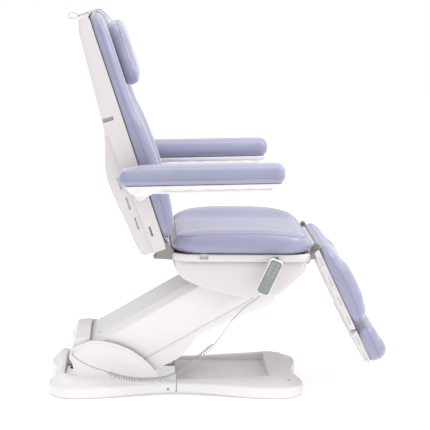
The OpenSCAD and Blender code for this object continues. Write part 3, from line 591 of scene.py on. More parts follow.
def curly(route):
    """A helix around a route, drawn in to the route at both ends."""
    line = catmull(in_row(route), 30)
    steps = [0.0]
    for a, b in zip(line, line[1:]):
        steps.append(steps[-1] + (b - a).length)
    total = COIL_TURNS * POINTS_A_TURN
    helix, k = [], 0
    for i in range(total + 1):
        reach = steps[-1] * i / total
        while k < len(steps) - 2 and steps[k + 1] < reach:
            k += 1
        t = (reach - steps[k]) / (steps[k + 1] - steps[k])
        centre = line[k].lerp(line[k + 1], t)
        ahead = (line[min(k + 2, len(line) - 1)] - line[max(k - 1, 0)]).normalized()
        side = ahead.cross(Vector((0, 0, 1))).normalized()
        up = side.cross(ahead)
        ends = min(i, total - i) / POINTS_A_TURN
        radius = COIL_R * ease(ends / TURNS_DRAWN_IN)
        angle = math.tau * i / POINTS_A_TURN
        helix.append(centre + radius * (math.cos(angle) * side + math.sin(angle) * up))
    return helix


def add_cord():
    """The hand control's cord, one line from the gland to the case."""
    path = catmull(in_row(LEAD_LOW), 4)[:-1] + curly(COIL_PATH)[:-1]
    path += catmull(in_row(LEAD_HIGH), 4)
    # The whole cord, coil and leads, is drawn in the mid-grey of painted shade.
    line = tube("curly_cord", path, CORD_D / 2, 8, CORD_SHADE_GREY)
    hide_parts("cord_coil", "cord_leads")
    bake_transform(line)


add_cord()


SLEEVE_R, SLEEVE_STEP, SLEEVE_RIBS = 0.0062, 0.0012, 11


def add_strain_relief():
    """A tapered, ribbed sleeve over the cord where it leaves its boss."""
    low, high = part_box("cord_gland")
    middle = (low + high) / 2
    start = Vector((middle.x, high.y - 0.001, middle.z))
    path = [start + Vector((0, -SLEEVE_STEP * i, 0)) for i in range(SLEEVE_RIBS)]
    relief = tube("strain_relief", path, SLEEVE_R, 20, CASE,
                  lambda i: (1 - 0.045 * i) * (0.86 if i % 2 else 1.0))
    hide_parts("cord_gland")
    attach(relief, "base")


add_strain_relief()

# ---------------------------------------------------------------- cushions


def rounded_rectangle(a0, a1, y0, y1, radius, arc=10, side=14):
    """Points (along, across) round a rectangle with round corners."""
    corners = [(a1 - radius, y1 - radius, 0), (a0 + radius, y1 - radius, 90),
               (a0 + radius, y0 + radius, 180), (a1 - radius, y0 + radius, 270)]
    ring = []
    for a, y, first in corners:
        for k in range(arc + 1):
            angle = math.radians(first + 90 * k / arc)
            ring.append(Vector((a + radius * math.cos(angle), y + radius * math.sin(angle))))
    outline = []
    for i, p in enumerate(ring):
        ahead = ring[(i + 1) % len(ring)]
        outline.append(p)
        if i % (arc + 1) == arc:
            outline += [p.lerp(ahead, k / side) for k in range(1, side)]
    return outline


def depth_inside(p, a0, a1, y0, y1, radius):
    """How far p is inside a rectangle with round corners."""
    qa = abs(p.x - (a0 + a1) / 2) - ((a1 - a0) / 2 - radius)
    qy = abs(p.y - (y0 + y1) / 2) - ((y1 - y0) / 2 - radius)
    return max(radius - math.hypot(max(qa, 0), max(qy, 0)) - min(max(qa, qy), 0), 0)


CUSHION_RINGS = 26  # from the edge to the middle, closer together near the edge


def cushion_form(name, plane, spread_of, radius, top, edge, under=12, shoulder=0.45, base=0):
    """A closed pad. spread_of is (a0, a1, y0, y1); top(a, y) is its height above base."""
    a0, a1, y0, y1 = spread_of
    outline = rounded_rectangle(*spread_of, radius)
    centre = Vector(((a0 + a1) / 2, (y0 + y1) / 2))
    rings, count = CUSHION_RINGS, len(outline)
    points, faces = [], []

    def level(p, side):
        depth = depth_inside(p, *spread_of, radius)
        high = top(p.x, p.y)
        middle = shoulder * high
        reach = edge if side > 0 else under
        bulge = math.sqrt(1 - (1 - min(depth / reach, 1)) ** 2)
        return base + middle + ((high - middle) if side > 0 else -middle) * bulge

    for side in (1, -1):
        for k in range(rings):
            if side < 0 and k == 0:
                continue
            t = (k / rings) ** 1.5
            for p in outline:
                q = p.lerp(centre, t)
                points.append(spot(plane, q.x, q.y, level(q, side)))
    points.append(spot(plane, centre.x, centre.y, level(centre, 1)))
    points.append(spot(plane, centre.x, centre.y, level(centre, -1)))

    def row(k):
        return k * count

    for k in range(rings - 1):
        for i in range(count):
            j = (i + 1) % count
            faces.append((row(k) + i, row(k) + j, row(k + 1) + j, row(k + 1) + i))
            low = 0 if k == 0 else row(rings + k - 1)
            faces.append((low + j, low + i, row(rings + k) + i, row(rings + k) + j))
    for i in range(count):
        j = (i + 1) % count
        faces.append((row(rings - 1) + i, row(rings - 1) + j, len(points) - 2))
        faces.append((row(2 * rings - 2) + j, row(2 * rings - 2) + i, len(points) - 1))
    return solid_from(name, points, faces, LAVENDER)


CLOTH_STEPS = 16
CLOTH_STIFFNESS, CLOTH_BENDING = 12, 0.4
HELD_ABOVE_REST = 6  # millimetres of a cushion's foot that its board holds


def puff(piece, plane, voxel, pressure, cap, rest_level=0.0):
    """Cloth under a little pressure from within; the foot of the cushion stays on its board."""
    remesh = piece.modifiers.new("remesh", "REMESH")
    remesh.mode = "VOXEL"
    remesh.voxel_size = voxel * MM
    settle(piece)
    shape = [v.co.copy() for v in piece.data.vertices]
    held = piece.vertex_groups.new(name="held")
    level = [(p - plane.origin).dot(plane.out) / MM for p in shape]
    foot = [i for i, b in enumerate(level) if b < rest_level + HELD_ABOVE_REST]
    held.add(foot, 1.0, "REPLACE")
    cloth = piece.modifiers.new("cloth", "CLOTH")
    cover = cloth.settings
    cover.vertex_group_mass = "held"
    cover.quality = 3
    cover.tension_stiffness = CLOTH_STIFFNESS
    cover.compression_stiffness = CLOTH_STIFFNESS
    cover.bending_stiffness = CLOTH_BENDING
    cover.use_pressure = True
    cover.uniform_pressure_force = pressure
    cover.effector_weights.gravity = 0
    cloth.collision_settings.use_self_collision = False
    cloth.collision_settings.use_collision = False
    for step in range(1, CLOTH_STEPS + 1):
        scene.frame_set(step)
    settle(piece)
    for vertex, before in zip(piece.data.vertices, shape):
        moved = vertex.co - before
        if moved.length > cap * MM:
            vertex.co = before + moved * (cap * MM / moved.length)
    piece.vertex_groups.clear()
    scene.frame_set(1)
    relax = piece.modifiers.new("relax", "SMOOTH")
    relax.factor = 0.5
    relax.iterations = 4
    refine(piece)
    piece.data.shade_smooth()


def on_surface(piece, path, lift=0.0):
    """The path's points moved on to the piece's surface."""
    tree = BVHTree.FromPolygons([v.co for v in piece.data.vertices],
                                [p.vertices for p in piece.data.polygons])
    placed = []
    for p in path:
        near, normal, _, _ = tree.find_nearest(p)
        placed.append(near + normal * lift)
    return placed


def new_tree(name, sizes):
    """A Geometry Nodes tree with a geometry input, a named input for each size, and an output."""
    tree = bpy.data.node_groups.new(name, "GeometryNodeTree")
    face = tree.interface
    face.new_socket("Geometry", in_out="INPUT", socket_type="NodeSocketGeometry")
    for size, value in sizes.items():
        socket = face.new_socket(size, in_out="INPUT", socket_type="NodeSocketFloat")
        socket.default_value = value
    face.new_socket("Geometry", in_out="OUTPUT", socket_type="NodeSocketGeometry")
    return tree, tree.nodes.new("NodeGroupInput"), tree.nodes.new("NodeGroupOutput")


def finish_tree(tree, placed, end, made_of):
    """Ends a tree: its instances made real, in one material."""
    real = tree.nodes.new("GeometryNodeRealizeInstances")
    surface = tree.nodes.new("GeometryNodeSetMaterial")
    surface.inputs["Material"].default_value = made_of
    tree.links.new(placed.outputs["Instances"], real.inputs["Geometry"])
    tree.links.new(real.outputs["Geometry"], surface.inputs["Geometry"])
    tree.links.new(surface.outputs["Geometry"], end.inputs["Geometry"])


def link_all(tree, *ways):
    """Links (from node, output, to node, input)."""
    for source, output, target, entry in ways:
        tree.links.new(source.outputs[output], target.inputs[entry])


def stitch_tree():
    """Geometry Nodes: short thread stitches along a line."""
    sizes = {"Length": 0.0032, "Radius": 0.00035, "Pitch": 0.0055}
    tree, start, end = new_tree("stitches", sizes)
    nodes = tree.nodes
    to_curve = nodes.new("GeometryNodeMeshToCurve")
    spaced = nodes.new("GeometryNodeCurveToPoints")
    spaced.mode = "LENGTH"
    thread = nodes.new("GeometryNodeMeshCylinder")
    thread.inputs["Vertices"].default_value = 6
    placed = nodes.new("GeometryNodeInstanceOnPoints")
    link_all(tree,
             (start, "Geometry", to_curve, "Mesh"),
             (to_curve, "Curve", spaced, "Curve"),
             (start, "Pitch", spaced, "Length"),
             (start, "Length", thread, "Depth"),
             (start, "Radius", thread, "Radius"),
             (spaced, "Points", placed, "Points"),
             (spaced, "Rotation", placed, "Rotation"),
             (thread, "Mesh", placed, "Instance"))
    finish_tree(tree, placed, end, THREAD)
    return tree


STITCHES = stitch_tree()


def stitched(name, path):
    """Stitches along a path."""
    line = piece_from(name, path, [], THREAD)
    work = bmesh.new()
    work.from_mesh(line.data)
    work.verts.ensure_lookup_table()
    for i in range(len(work.verts) - 1):
        work.edges.new((work.verts[i], work.verts[i + 1]))
    work.to_mesh(line.data)
    work.free()
    step = line.modifiers.new("stitches", "NODES")
    step.node_group = STITCHES
    settle(line)
    return line


WELT_R, THREAD_LIFT = 0.0011, 0.0002  # metres
STITCHES_ABOVE_WELT = 6


def seam_round(cushion, name, plane, spread_of, radius, level, body, inset=0, base=0):
    """A sewn seam round a cushion: a fine welt, and stitches just above it."""
    a0, a1, y0, y1 = spread_of
    ring = rounded_rectangle(a0 + inset, a1 - inset, y0 + inset, y1 - inset,
                             max(radius - inset, 5), 12, 22)
    ring.append(ring[0])
    welt_line, thread_line = ([spot(plane, p.x, p.y, base + level(p.x, p.y) + lift) for p in ring]
                              for lift in (0, STITCHES_ABOVE_WELT))
    # The welt is drawn in the darker leatherette: painted shade along the seam.
    welt = tube(name + "_welt", on_surface(cushion, welt_line), WELT_R, 6, SEAM_SHADE)
    thread = stitched(name + "_thread", on_surface(cushion, thread_line, THREAD_LIFT))
    seam = joined(name, [welt, thread])
    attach(seam, body)


def finish_cushion(piece, body, fill, *nodes):
    """The cushion stands for its nodes and rides on its body; fill is not used."""
    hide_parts(*nodes)
    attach(piece, body)


def spread_in(plane, node):
    """A node's reach in a plane: (a0, a1, y0, y1) along and across, and (low, high) out of it."""
    places = [v.co - plane.origin for v in NODES[node].data.vertices]
    along = [p.dot(plane.along) / MM for p in places]
    across = [p.y / MM for p in places]
    out = [p.dot(plane.out) / MM for p in places]
    return [min(along), max(along), min(across), max(across)], (min(out), max(out))


def add_seat_cushion():
    """Hollow in the middle, with a bolster at each side."""
    reach, (low, high) = spread_in(FLAT, "seat_cushion")
    low -= 2  # its skirt hangs a little over the board's edge
    thick = high - low
    front, half = reach[1], reach[3]
    middle = (reach[0] + front) / 2

    def swell(x):
        return 1 - abs((x - middle) / (front - middle)) ** 3

    def top(x, y):
        side = ease((abs(y) - 0.46 * half) / (0.26 * half))
        return thick - 30 + 5 * swell(x) + 24 * side * max(swell(x), 0)

    pad = cushion_form("seat_pad", FLAT, reach, 104, top, 42, 30, 0.42, low)
    puff(pad, FLAT, 8, 2.2, 5, low)
    finish_cushion(pad, "seat", 0.8, "seat_cushion")

    def seam_level(x, y):
        return thick * (0.62 + 0.34 * swell(x))

    seam_round(pad, "seat_seam", FLAT, reach, 108, seam_level, "seat", 17, low)


def add_back_cushion():
    """Bolsters at the waist, running out towards the head."""
    reach, _ = spread_in(BACK, "back_cushion")
    half, length = reach[3], reach[1]
    crest = [(0, 26), (20, 30), (60, 50), (150, 62), (300, 62), (400, 57), (470, 46), (560, 42),
             (740, 43), (length, 40)]
    hollow = [(0, 26), (60, 40), (200, 46), (400, 44), (560, 40), (length, 38)]

    def top(u, y):
        side = ease((abs(y) - 0.52 * half) / (0.22 * half))
        return between(hollow, u) * (1 - side) + between(crest, u) * side

    pad = cushion_form("back_pad", BACK, reach, 62, top, 26, 12, 0.4)
    puff(pad, BACK, 8, 2.0, 4)
    finish_cushion(pad, "backrest", 0.8, "back_cushion")
    seam_round(pad, "back_seam", BACK, reach, 62, lambda u, y: 0.55 * between(crest, u), "backrest")


def add_leg_cushion():
    """Two calf bolsters that swell at mid-length."""
    reach, _ = spread_in(LEG, "leg_cushion")
    half = reach[3]
    crest = [(-10, 40), (25, 45), (70, 52), (120, 70), (170, 72), (225, 71), (270, 64),
             (reach[1], 50)]

    def top(v, y):
        side = ease((abs(y) - 0.45 * half) / (0.3 * half))
        return between(crest, v) - 12 * (1 - side) * ease((v - 20) / 60)

    pad = cushion_form("leg_pad", LEG, reach, 58, top, 34, 12, 0.42)
    puff(pad, LEG, 7, 2.0, 4)
    finish_cushion(pad, "legrest", 0.8, "leg_cushion")
    seam_round(pad, "leg_seam", LEG, reach, 58, lambda v, y: 0.5 * between(crest, v), "legrest")


def add_foot_cushion():
    """A flat pad, thicker to its far end."""
    reach, (_, high) = spread_in(LEG, "foot_cushion")
    rear, front = reach[:2]
    crest = [(rear, 0.84 * high), (rear + 60, 0.95 * high), (front - 35, high + 4),
             (front, high + 2)]
    pad = cushion_form("foot_pad", LEG, reach, 40, lambda v, y: between(crest, v), 30, 12, 0.45)
    puff(pad, LEG, 6, 2.0, 3)
    finish_cushion(pad, "footrest", 0.8, "foot_cushion")
    seam_round(pad, "foot_seam", LEG, reach, 40, lambda v, y: 0.5 * high, "footrest")


def add_head_pillow():
    """A small pad with a slight hollow for the head."""
    reach, (low, high) = spread_in(BACK, "head_pillow")
    thick = high - low
    half = reach[3]

    def top(u, y):
        return thick - 5 * ease(1 - abs(y) / (0.55 * half))

    pad = cushion_form("head_pad", BACK, reach, 56, top, 26, 20, 0.48, low + 0.4)
    puff(pad, BACK, 6, 2.5, 4, low)
    finish_cushion(pad, "backrest", 0.7, "head_pillow")
    seam_round(pad, "head_seam", BACK, reach, 56, lambda u, y: 0.72 * thick, "backrest", 4, low)


def add_armrest_pads():
    """Pads that rise a little to the front."""
    thick = 64
    for side, _ in SIDES:
        reach, (low, high) = spread_in(FLAT, "armrest_pad_" + side)
        start, end = reach[:2]
        rise = (high - low - thick) / (end - start)

        def top(x, y):
            return thick * (1 - 0.16 * ease(1 - (x - start) / 90)) - 2

        def seam_level(x, y):
            return 0.30 * thick + rise * (x - start)

        pad = cushion_form("armrest_cushion_" + side, FLAT, reach, 30, top, 20, 14, 0.5, low)
        puff(pad, FLAT, 6, 1.5, 2, low)
        for vertex in pad.data.vertices:
            vertex.co.z += rise * (vertex.co.x - FLAT.origin.x - start * MM)
        finish_cushion(pad, "armrest_" + side, 0.85, "armrest_pad_" + side)
        seam_round(pad, "armrest_seam_" + side, FLAT, reach, 30, seam_level,
                   "armrest_" + side, 0, low)


add_seat_cushion()
add_back_cushion()
add_leg_cushion()
add_foot_cushion()
add_head_pillow()
add_armrest_pads()

# ---------------------------------------------------------------- base

BASE_CORNER, BASE_WAIST, BASE_END_IN = 95, 58, 24
BASE_WALL, BASE_GAP = 3, 1.4
BASE_SKIRT, DECK_LOW = 42, 48
SKIRT_STEPS = {"side": -12, "brow": -5, "round": -0.5, "lip": 1.5}  # from the skirt's top
TRAY_Y = 158
TRAY_REAR, TRAY_FRONT = -402, 340
TRAY_FOOT = 19
TRAY_WALL = ((2, 1), (3, 5), (3.5, None))  # inset, and drop from the deck; the last to its foot


def base_outline(half_l, half_w):
    """The base in plan: corner lobes, with the sides and ends drawn in between them."""
    lobe_x, lobe_y = half_l - BASE_CORNER, half_w - BASE_CORNER
    quarter = []
    for i in range(28):
        x = lobe_x * i / 28
        quarter.append((x, -half_w + BASE_WAIST * (1 + math.cos(math.pi * x / lobe_x)) / 2))
    for i in range(14):
        angle = math.radians(-90 + 90 * i / 14)
        quarter.append((lobe_x + BASE_CORNER * math.cos(angle),
                        -lobe_y + BASE_CORNER * math.sin(angle)))
    for i in range(11):
        y = -lobe_y * (1 - i / 10)
        quarter.append((half_l - BASE_END_IN * (1 + math.cos(math.pi * y / lobe_y)) / 2, y))
    right = quarter + [(x, -y) for x, y in reversed(quarter[1:-1])]
    return right + [(-x, -y) for x, y in right]


def tray_point(x, y):
    """The nearest place on the rim of the middle channel, as seen from the outline's (x, y)."""
    return (min(max(x, TRAY_REAR), TRAY_FRONT), min(max(y, -TRAY_Y), TRAY_Y))


def deck_height(x, y, half_l, half_w):
    """Top of the base: low at mid-length, horns rising at the four corners."""
    rise = 24 * (abs(x) / (half_l - 40)) ** 2
    corner = math.hypot(abs(x) - (half_l - 26), abs(y) - (half_w - 62))
    horn = (17 if x < 0 else 5) * ease(1 - corner / 62)
    return DECK_LOW + rise + horn


def base_form():
    """Both covers in one surface, from the foot over the deck and down into the channel."""
    low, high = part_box("base_cover_rear")
    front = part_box("base_cover_front")[1]
    half_l = (front.x - low.x) / MM / 2
    half_w = (high.y - low.y) / MM / 2
    outline = base_outline(half_l, half_w)
    lip = 0.10
    profile = [(0.0, "foot"), (0.0, "side"), (0.0, "brow"), (0.035, "round"), (lip, "lip")]
    profile += [(s, "slope") for s in (0.18, 0.3, 0.45, 0.6, 0.75, 0.88, 0.96, 1.0)]
    points = []
    for s, kind in profile:
        for x, y in outline:
            tx, ty = tray_point(x, y)
            px, py = x + (tx - x) * s, y + (ty - y) * s
            if kind == "foot":
                z = 3 + 6 * ease(1 - abs(x) / 330)
            elif kind == "slope":
                top = deck_height(px, py, half_l, half_w)
                bend = ((s - lip) / 0.90) ** 0.8
                z = BASE_SKIRT + 1.5 + (top - BASE_SKIRT - 1.5) * ease(bend * 1.15)
            else:
                z = BASE_SKIRT + SKIRT_STEPS[kind]
            points.append(spot(FLAT, px, py, z))
    rim = [tray_point(x, y) for x, y in outline]
    for inset, drop in TRAY_WALL:
        for x, y in rim:
            at_end, at_side = x in (TRAY_REAR, TRAY_FRONT), abs(y) >= TRAY_Y - 1
            sx = math.copysign(inset, x) if at_end or not at_side else 0
            sy = math.copysign(inset, y) if at_side else 0
            z = deck_height(x, y, half_l, half_w) - drop if drop else TRAY_FOOT
            points.append(spot(FLAT, x - sx, y - sy, z))
    faces = ring_faces(len(profile) + len(TRAY_WALL), len(outline))
    return solid_from("base_form", points, faces, WHITE)


def add_base_covers():
    """The two covers, parted by a fine gap at mid-length; the front one holds the tray's floor."""
    whole = base_form()
    for name, sign in (("base_cover_rear", -1), ("base_cover_front", 1)):
        half = whole.copy()
        half.data = whole.data.copy()
        scene.collection.objects.link(half)
        work = bmesh.new()
        work.from_mesh(half.data)
        bmesh.ops.bisect_plane(
            work, geom=work.verts[:] + work.edges[:] + work.faces[:],
            plane_co=spot(FLAT, BASE_GAP / 2 * sign, 0, 0), plane_no=(sign, 0, 0), clear_inner=True)
        work.to_mesh(half.data)
        work.free()
        half.name = name.replace("base_cover", "base_moulding")
        wall = half.modifiers.new("wall", "SOLIDIFY")
        wall.thickness = BASE_WALL * MM
        wall.offset = -1
        refine(half)
        smooth_shaded(half, 45)
        done = joined(half.name + "_cover", [half] + ([tray_floor()] if sign > 0 else []))
        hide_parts(name)
        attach(done, "base")
    bpy.data.objects.remove(whole)


def tray_floor():
    """The floor of the tray ahead of the arm, with a raised middle."""
    parts = []
    for low, high, side, z in ((1, 338, 155.5, 37), (40, 316, 118, 38.4)):
        ring = rounded_rectangle(low, high, -side, side, 14, 6, 8)
        points = [spot(FLAT, p.x, p.y, level) for level in (z, z - 3) for p in ring]
        parts.append(solid_from("tray", points, plate_faces(len(ring)), WHITE))
    floor = joined("tray_floor", parts)
    soften(floor, 1.0, 2)
    return floor


def circle_outline(centre, radius, first, last, steps):
    """Points of an arc in a side view, by degrees."""
    angles = [math.radians(first + (last - first) * i / steps) for i in range(steps + 1)]
    return [(centre[0] + radius * math.cos(angle), centre[1] + radius * math.sin(angle))
            for angle in angles]


CHEEK_CENTRE = (-298, -85)
CHEEK_R = 278


def cheek_outline(depth):
    """Crescent plate beside the arm's lower pivot: a long arc falling to the front."""
    radius = CHEEK_R - depth
    arc = circle_outline(CHEEK_CENTRE, radius, 33.5 - depth * 0.12, 92, 34)
    rear = [(-352 + depth, 176 - depth), (-372 + depth, 164 - depth), (-382 + depth, 148 - depth),
            (-384 + depth, 128), (-370 + depth, 104), (-366 + depth, 58),
            (-366 + depth, 36 + depth)]
    return arc + rear + [(-60 - depth, 36 + depth)]


def off_middle(node):
    """How far a node's near and far faces are off the middle."""
    low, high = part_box(node)
    return sorted((abs(low.y) / MM, abs(high.y) / MM))


def add_cheeks():
    """Two layers each, the outer one set in round its edge."""
    for side, s in SIDES:
        inner, outer = off_middle("cheek_" + side)
        parts = []
        for inset, reach, edge in ((0, outer - 3, 3.0), (9, outer, 2.6)):
            part = slab("part", FLAT, cheek_outline(inset), *on_side(s, inner, reach), WHITE)
            soften(part, edge, 3)
            parts.append(part)
        cheek = joined("fender_" + side, parts)
        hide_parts("cheek_" + side)
        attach(cheek, "base")


def screw_tree():
    """Geometry Nodes: a domed screw head with a six-sided socket, on each point."""
    tree, start, end = new_tree("screw_heads", {"Head Radius": 0.0048, "Head Height": 0.0018})
    nodes = tree.nodes
    head = nodes.new("GeometryNodeMeshCone")
    head.inputs["Vertices"].default_value = 20
    head.inputs["Fill Segments"].default_value = 2
    socket = nodes.new("GeometryNodeMeshCylinder")
    socket.inputs["Vertices"].default_value = 6
    shares = []
    for share in (0.62, 0.42):  # of the head's radius: its flat top, and the socket
        part = nodes.new("ShaderNodeMath")
        part.operation = "MULTIPLY"
        part.inputs[1].default_value = share
        shares.append(part)
    top, key = shares
    socketed = nodes.new("GeometryNodeMeshBoolean")
    socketed.operation = "DIFFERENCE"
    facing = nodes.new("FunctionNodeAlignEulerToVector")
    facing.axis = "Z"
    normal = nodes.new("GeometryNodeInputNormal")
    placed = nodes.new("GeometryNodeInstanceOnPoints")
    link_all(tree,
             (start, "Head Radius", head, "Radius Bottom"),
             (start, "Head Radius", top, 0),
             (start, "Head Radius", key, 0),
             (top, 0, head, "Radius Top"),
             (start, "Head Height", head, "Depth"),
             (key, 0, socket, "Radius"),
             (start, "Head Height", socket, "Depth"),
             (head, "Mesh", socketed, "Mesh 1"),
             (socket, "Mesh", socketed, "Mesh 2"),
             (normal, "Normal", facing, "Vector"),
             (start, "Geometry", placed, "Points"),
             (facing, "Rotation", placed, "Rotation"),
             (socketed, "Mesh", placed, "Instance"))
    finish_tree(tree, placed, end, CHROME)
    return tree


SCREWS = screw_tree()


SEED = 0.00002  # radius of the tiny face that a screw head grows from, in metres


def add_screws(name, places, facing, radius, body, slot, *nodes):
    """Screw heads at points of the row, all facing one way."""
    points, faces = [], []
    facing = Vector(facing).normalized()
    side = facing.orthogonal().normalized()
    other = facing.cross(side)
    for p in places:
        first = len(points)
        points.append(p)
        for k in range(3):
            angle = math.tau * k / 3
            points.append(p + SEED * (math.cos(angle) * side + math.sin(angle) * other))
        faces += [(first, first + 1, first + 2), (first, first + 2, first + 3),
                  (first, first + 3, first + 1)]
    seeds = piece_from(name, points, faces, CHROME)
    step = seeds.modifiers.new("heads", "NODES")
    step.node_group = SCREWS
    for item in SCREWS.interface.items_tree:
        if item.name == "Head Radius":
            step[item.identifier] = radius * MM
    settle(seeds)
    face_outwards(seeds)
    smooth_shaded(seeds, 30)
    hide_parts(*nodes)
    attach(seeds, body)


# ---------------------------------------------------------------- lifting arm

COVER_Y = 150  # half of the arm's covers' width
CAP_R = 121
COVER_LOW, COVER_SIDE, COVER_TOP = -82, 52, 74


def add_arm_upper():
    """Long channel over the arm: flat top, soft chamfers, a bead along each side."""
    section = filleted([(-COVER_Y, COVER_LOW, 0), (-COVER_Y, COVER_SIDE, 10), (-126, COVER_TOP, 12),
                        (126, COVER_TOP, 12), (COVER_Y, COVER_SIDE, 10), (COVER_Y, COVER_LOW, 0)])
    inner = [(y * 0.973, w - (3.5 if w > COVER_LOW else 0)) for y, w in section]
    count = len(section)
    points = [spot(ARM, u, y, w) for ring in (section, inner) for u in (-130, 600) for y, w in ring]
    within = 2 * count  # from a point of the outer section to the same one of the inner
    along = [(a, a + 1, a + count + 1, a + count)
             for layer in (0, within) for a in range(layer, layer + count - 1)]
    feet = [(a, a + within, a + within + count, a + count) for a in (0, count - 1)]
    ends = [(a, a + 1, a + within + 1, a + within)
            for end in (0, count) for a in range(end, end + count - 1)]
    cover = solid_from("arm_channel", points, along + feet + ends, WHITE)
    seam = [(-358, -100), (-279, 400), (-900, 400), (-900, -100)]
    cut_away(cover,
             slab("cut", FLAT, seam, -200, 200, WHITE),
             slab("cut", FLAT, box_line(-900, -200, -150, 67), -200, 200, WHITE),
             slab("cut", ARM, [(500, 66), (555, 26), (610, -62), (800, -62), (800, 200), (500, 200)],
                  -200, 200, WHITE))
    soften(cover, 1.2, 2)
    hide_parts("arm_cover_upper")
    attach(cover, "lift_arm")
    add_screws("arm_screw_heads", [spot(ARM, 24, y, COVER_TOP) for y in (-111, 111)],
               ARM.out, 5, "lift_arm", "bright_steel", "arm_screws")


def add_arm_lower():
    """Trough under the arm, open at both ends of its floor."""
    outer = filleted([(84, COVER_LOW - 1.2, 0), (92, -124, 14), (110, -136, 20), (226, -142, 30),
                      (262, -134, 40), (332, -106, 60), (356, -106, 40), (468, -117, 0),
                      (610, -137, 14), (634, -124, 10), (634, COVER_LOW - 1.2, 0)])
    cover = slab("arm_underside", ARM, outer, -147, 147, WHITE)
    hollow = [(a, b if b < COVER_LOW - 8 else b + 20) for a, b in drawn_in(outer, 4)]
    cut_away(cover, slab("cut", ARM, hollow, -143, 143, WHITE),
             slab("cut", ARM, box_line(60, 230, -200, -50), -90, 90, WHITE),
             slab("cut", ARM, box_line(520, 680, -200, -50), -111, 111, WHITE))
    soften(cover, 2.2, 3)
    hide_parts("arm_cover_lower")
    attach(cover, "lift_arm")


def add_end_cap():
    """Rounded cap behind the lower pivot: an arc, a flat top and a leaning joint line."""
    arc = [p for p in circle_outline(LOWER_PIVOT, CAP_R, 100, 250, 40) if 68 < p[1] < 201]
    arc.sort(key=lambda p: -p[1])
    outer = filleted([(-309, 202, 2)] + [(x, z, 8 if i == 0 else 0) for i, (x, z) in enumerate(arc)]
                     + [(arc[-1][0] + 4, 67, 3), (-328, 67, 0)])
    wall = 4
    cap = slab("arm_cap", FLAT, outer, -COVER_Y, COVER_Y, WHITE)
    inner = [(x + (3.5 if x < -329 else 30), z - 4 if z > 100 else z - 30) for x, z in outer]
    cut_away(cap, slab("cut", FLAT, inner, -COVER_Y + wall, COVER_Y - wall, WHITE))
    soften(cap, 3, 3)
    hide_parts("arm_end_cap")
    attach(cap, "lift_arm")


# ---------------------------------------------------------------- seat shell


def seat_windows():
    """Ways through the shell for the hinge brackets, the cranks and their rods."""
    windows = [(-45, 12, 152, 202, 486), (426, 500, -202, -150, 460)]
    for s in (-1, 1):
        near, far = on_side(s, 233, 255)
        windows += [(-45, 12, near, far, 478), (434, 500, near, far, 478)]
    return [block("cut", spot(FLAT, x0, y0, z0), spot(FLAT, x1, y1, 560), WHITE)
            for x0, x1, y0, y1, z0 in windows]


def seat_belly():
    """The deep belly under the seat, open below for the arm."""
    outline = filleted([(-18, 506, 0), (-16, 486, 10), (-6, 462, 30), (14, 439, 30), (77, 408, 60),
                        (200, 374, 80), (271, 369, 80), (341, 375, 50), (376, 395, 40),
                        (445, 463, 50), (458, 506, 0)])
    middle = Vector((220, 470))
    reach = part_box("seat_shell")[1].y / MM - 22
    stations = [(-1, 26), (-0.995, 14), (-0.975, 6), (-0.94, 2), (-0.88, 0), (0.88, 0), (0.94, 2),
                (0.975, 6), (0.995, 14), (1, 26)]
    points = []
    for across, inset in stations:
        for a, b in outline:
            inward = (middle - Vector((a, b))).normalized() * inset
            points.append(spot(FLAT, a + inward.x, across * reach, b + (inward.y if b < 505 else 0)))
    faces = ring_faces(len(stations), len(outline)) + end_faces(len(points), len(outline))
    # Drawn in the darker copy of the white plastic: painted shade under the seat.
    belly = solid_from("belly", points, faces, WHITE_IN_PAINTED_SHADE)
    hollow = [(a, b + (60 if b > 500 else 0)) for a, b in drawn_in(outline, 5)]
    cut_away(belly, slab("cut", FLAT, hollow, -reach + 26, reach - 26, WHITE_IN_PAINTED_SHADE),
             block("cut", spot(FLAT, 58, -157, 300), spot(FLAT, 404, 157, 445), WHITE),
             *seat_windows())
    soften(belly, 1.5, 2)
    return belly


def seat_rim():
    """The rounded rim round the cushion's foot."""
    low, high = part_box("seat_shell")
    ring = rounded_rectangle((low.x - FLAT.origin.x) / MM, (high.x - FLAT.origin.x) / MM,
                             low.y / MM, high.y / MM, 62, 12, 16)
    top = high.z / MM + 6
    profile = [(9, -26), (2.5, -24.5), (0, -20), (0, -4), (1, -1.2), (3, 0), (14, 0), (14, -26)]
    centre = Vector(((low.x + high.x) / 2 / MM - FLAT.origin.x / MM, 0))
    points = []
    for inset, drop in profile:
        for p in ring:
            q = p + (centre - p) * (inset / (centre - p).length)
            points.append(spot(FLAT, q.x, q.y, top + drop))
    # Drawn in the darker copy of the white plastic: painted shade.
    rim = solid_from("rim", points, ring_faces(len(profile), len(ring), closed=True), WHITE_IN_PAINTED_SHADE)
    notch = block("cut", spot(FLAT, 75, -300, 517), spot(FLAT, 103, -281, 540), WHITE)
    cut_away(rim, notch, *seat_windows())
    return rim


def add_seat_shell():
    shell = joined("seat_moulding", [seat_belly(), seat_rim()])
    smooth_shaded(shell, 40)
    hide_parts("seat_shell")
    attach(shell, "seat")


def add_seat_board():
    """Plywood under the cushion, set in from its edge."""
    low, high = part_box("seat_board")
    ring = rounded_rectangle((low.x - FLAT.origin.x) / MM + 30, (high.x - FLAT.origin.x) / MM - 24,
                             low.y / MM + 32, high.y / MM - 32, 80, 10, 4)
    points = [Vector((FLAT.origin.x + p.x * MM, p.y * MM, z)) for z in (low.z, high.z) for p in ring]
    board = solid_from("plywood_board", points, plate_faces(len(ring)), PLY)
    soften(board, 0.8, 2)
    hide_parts("seat_board")
    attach(board, "seat")


# ---------------------------------------------------------------- back, leg and armrest shells


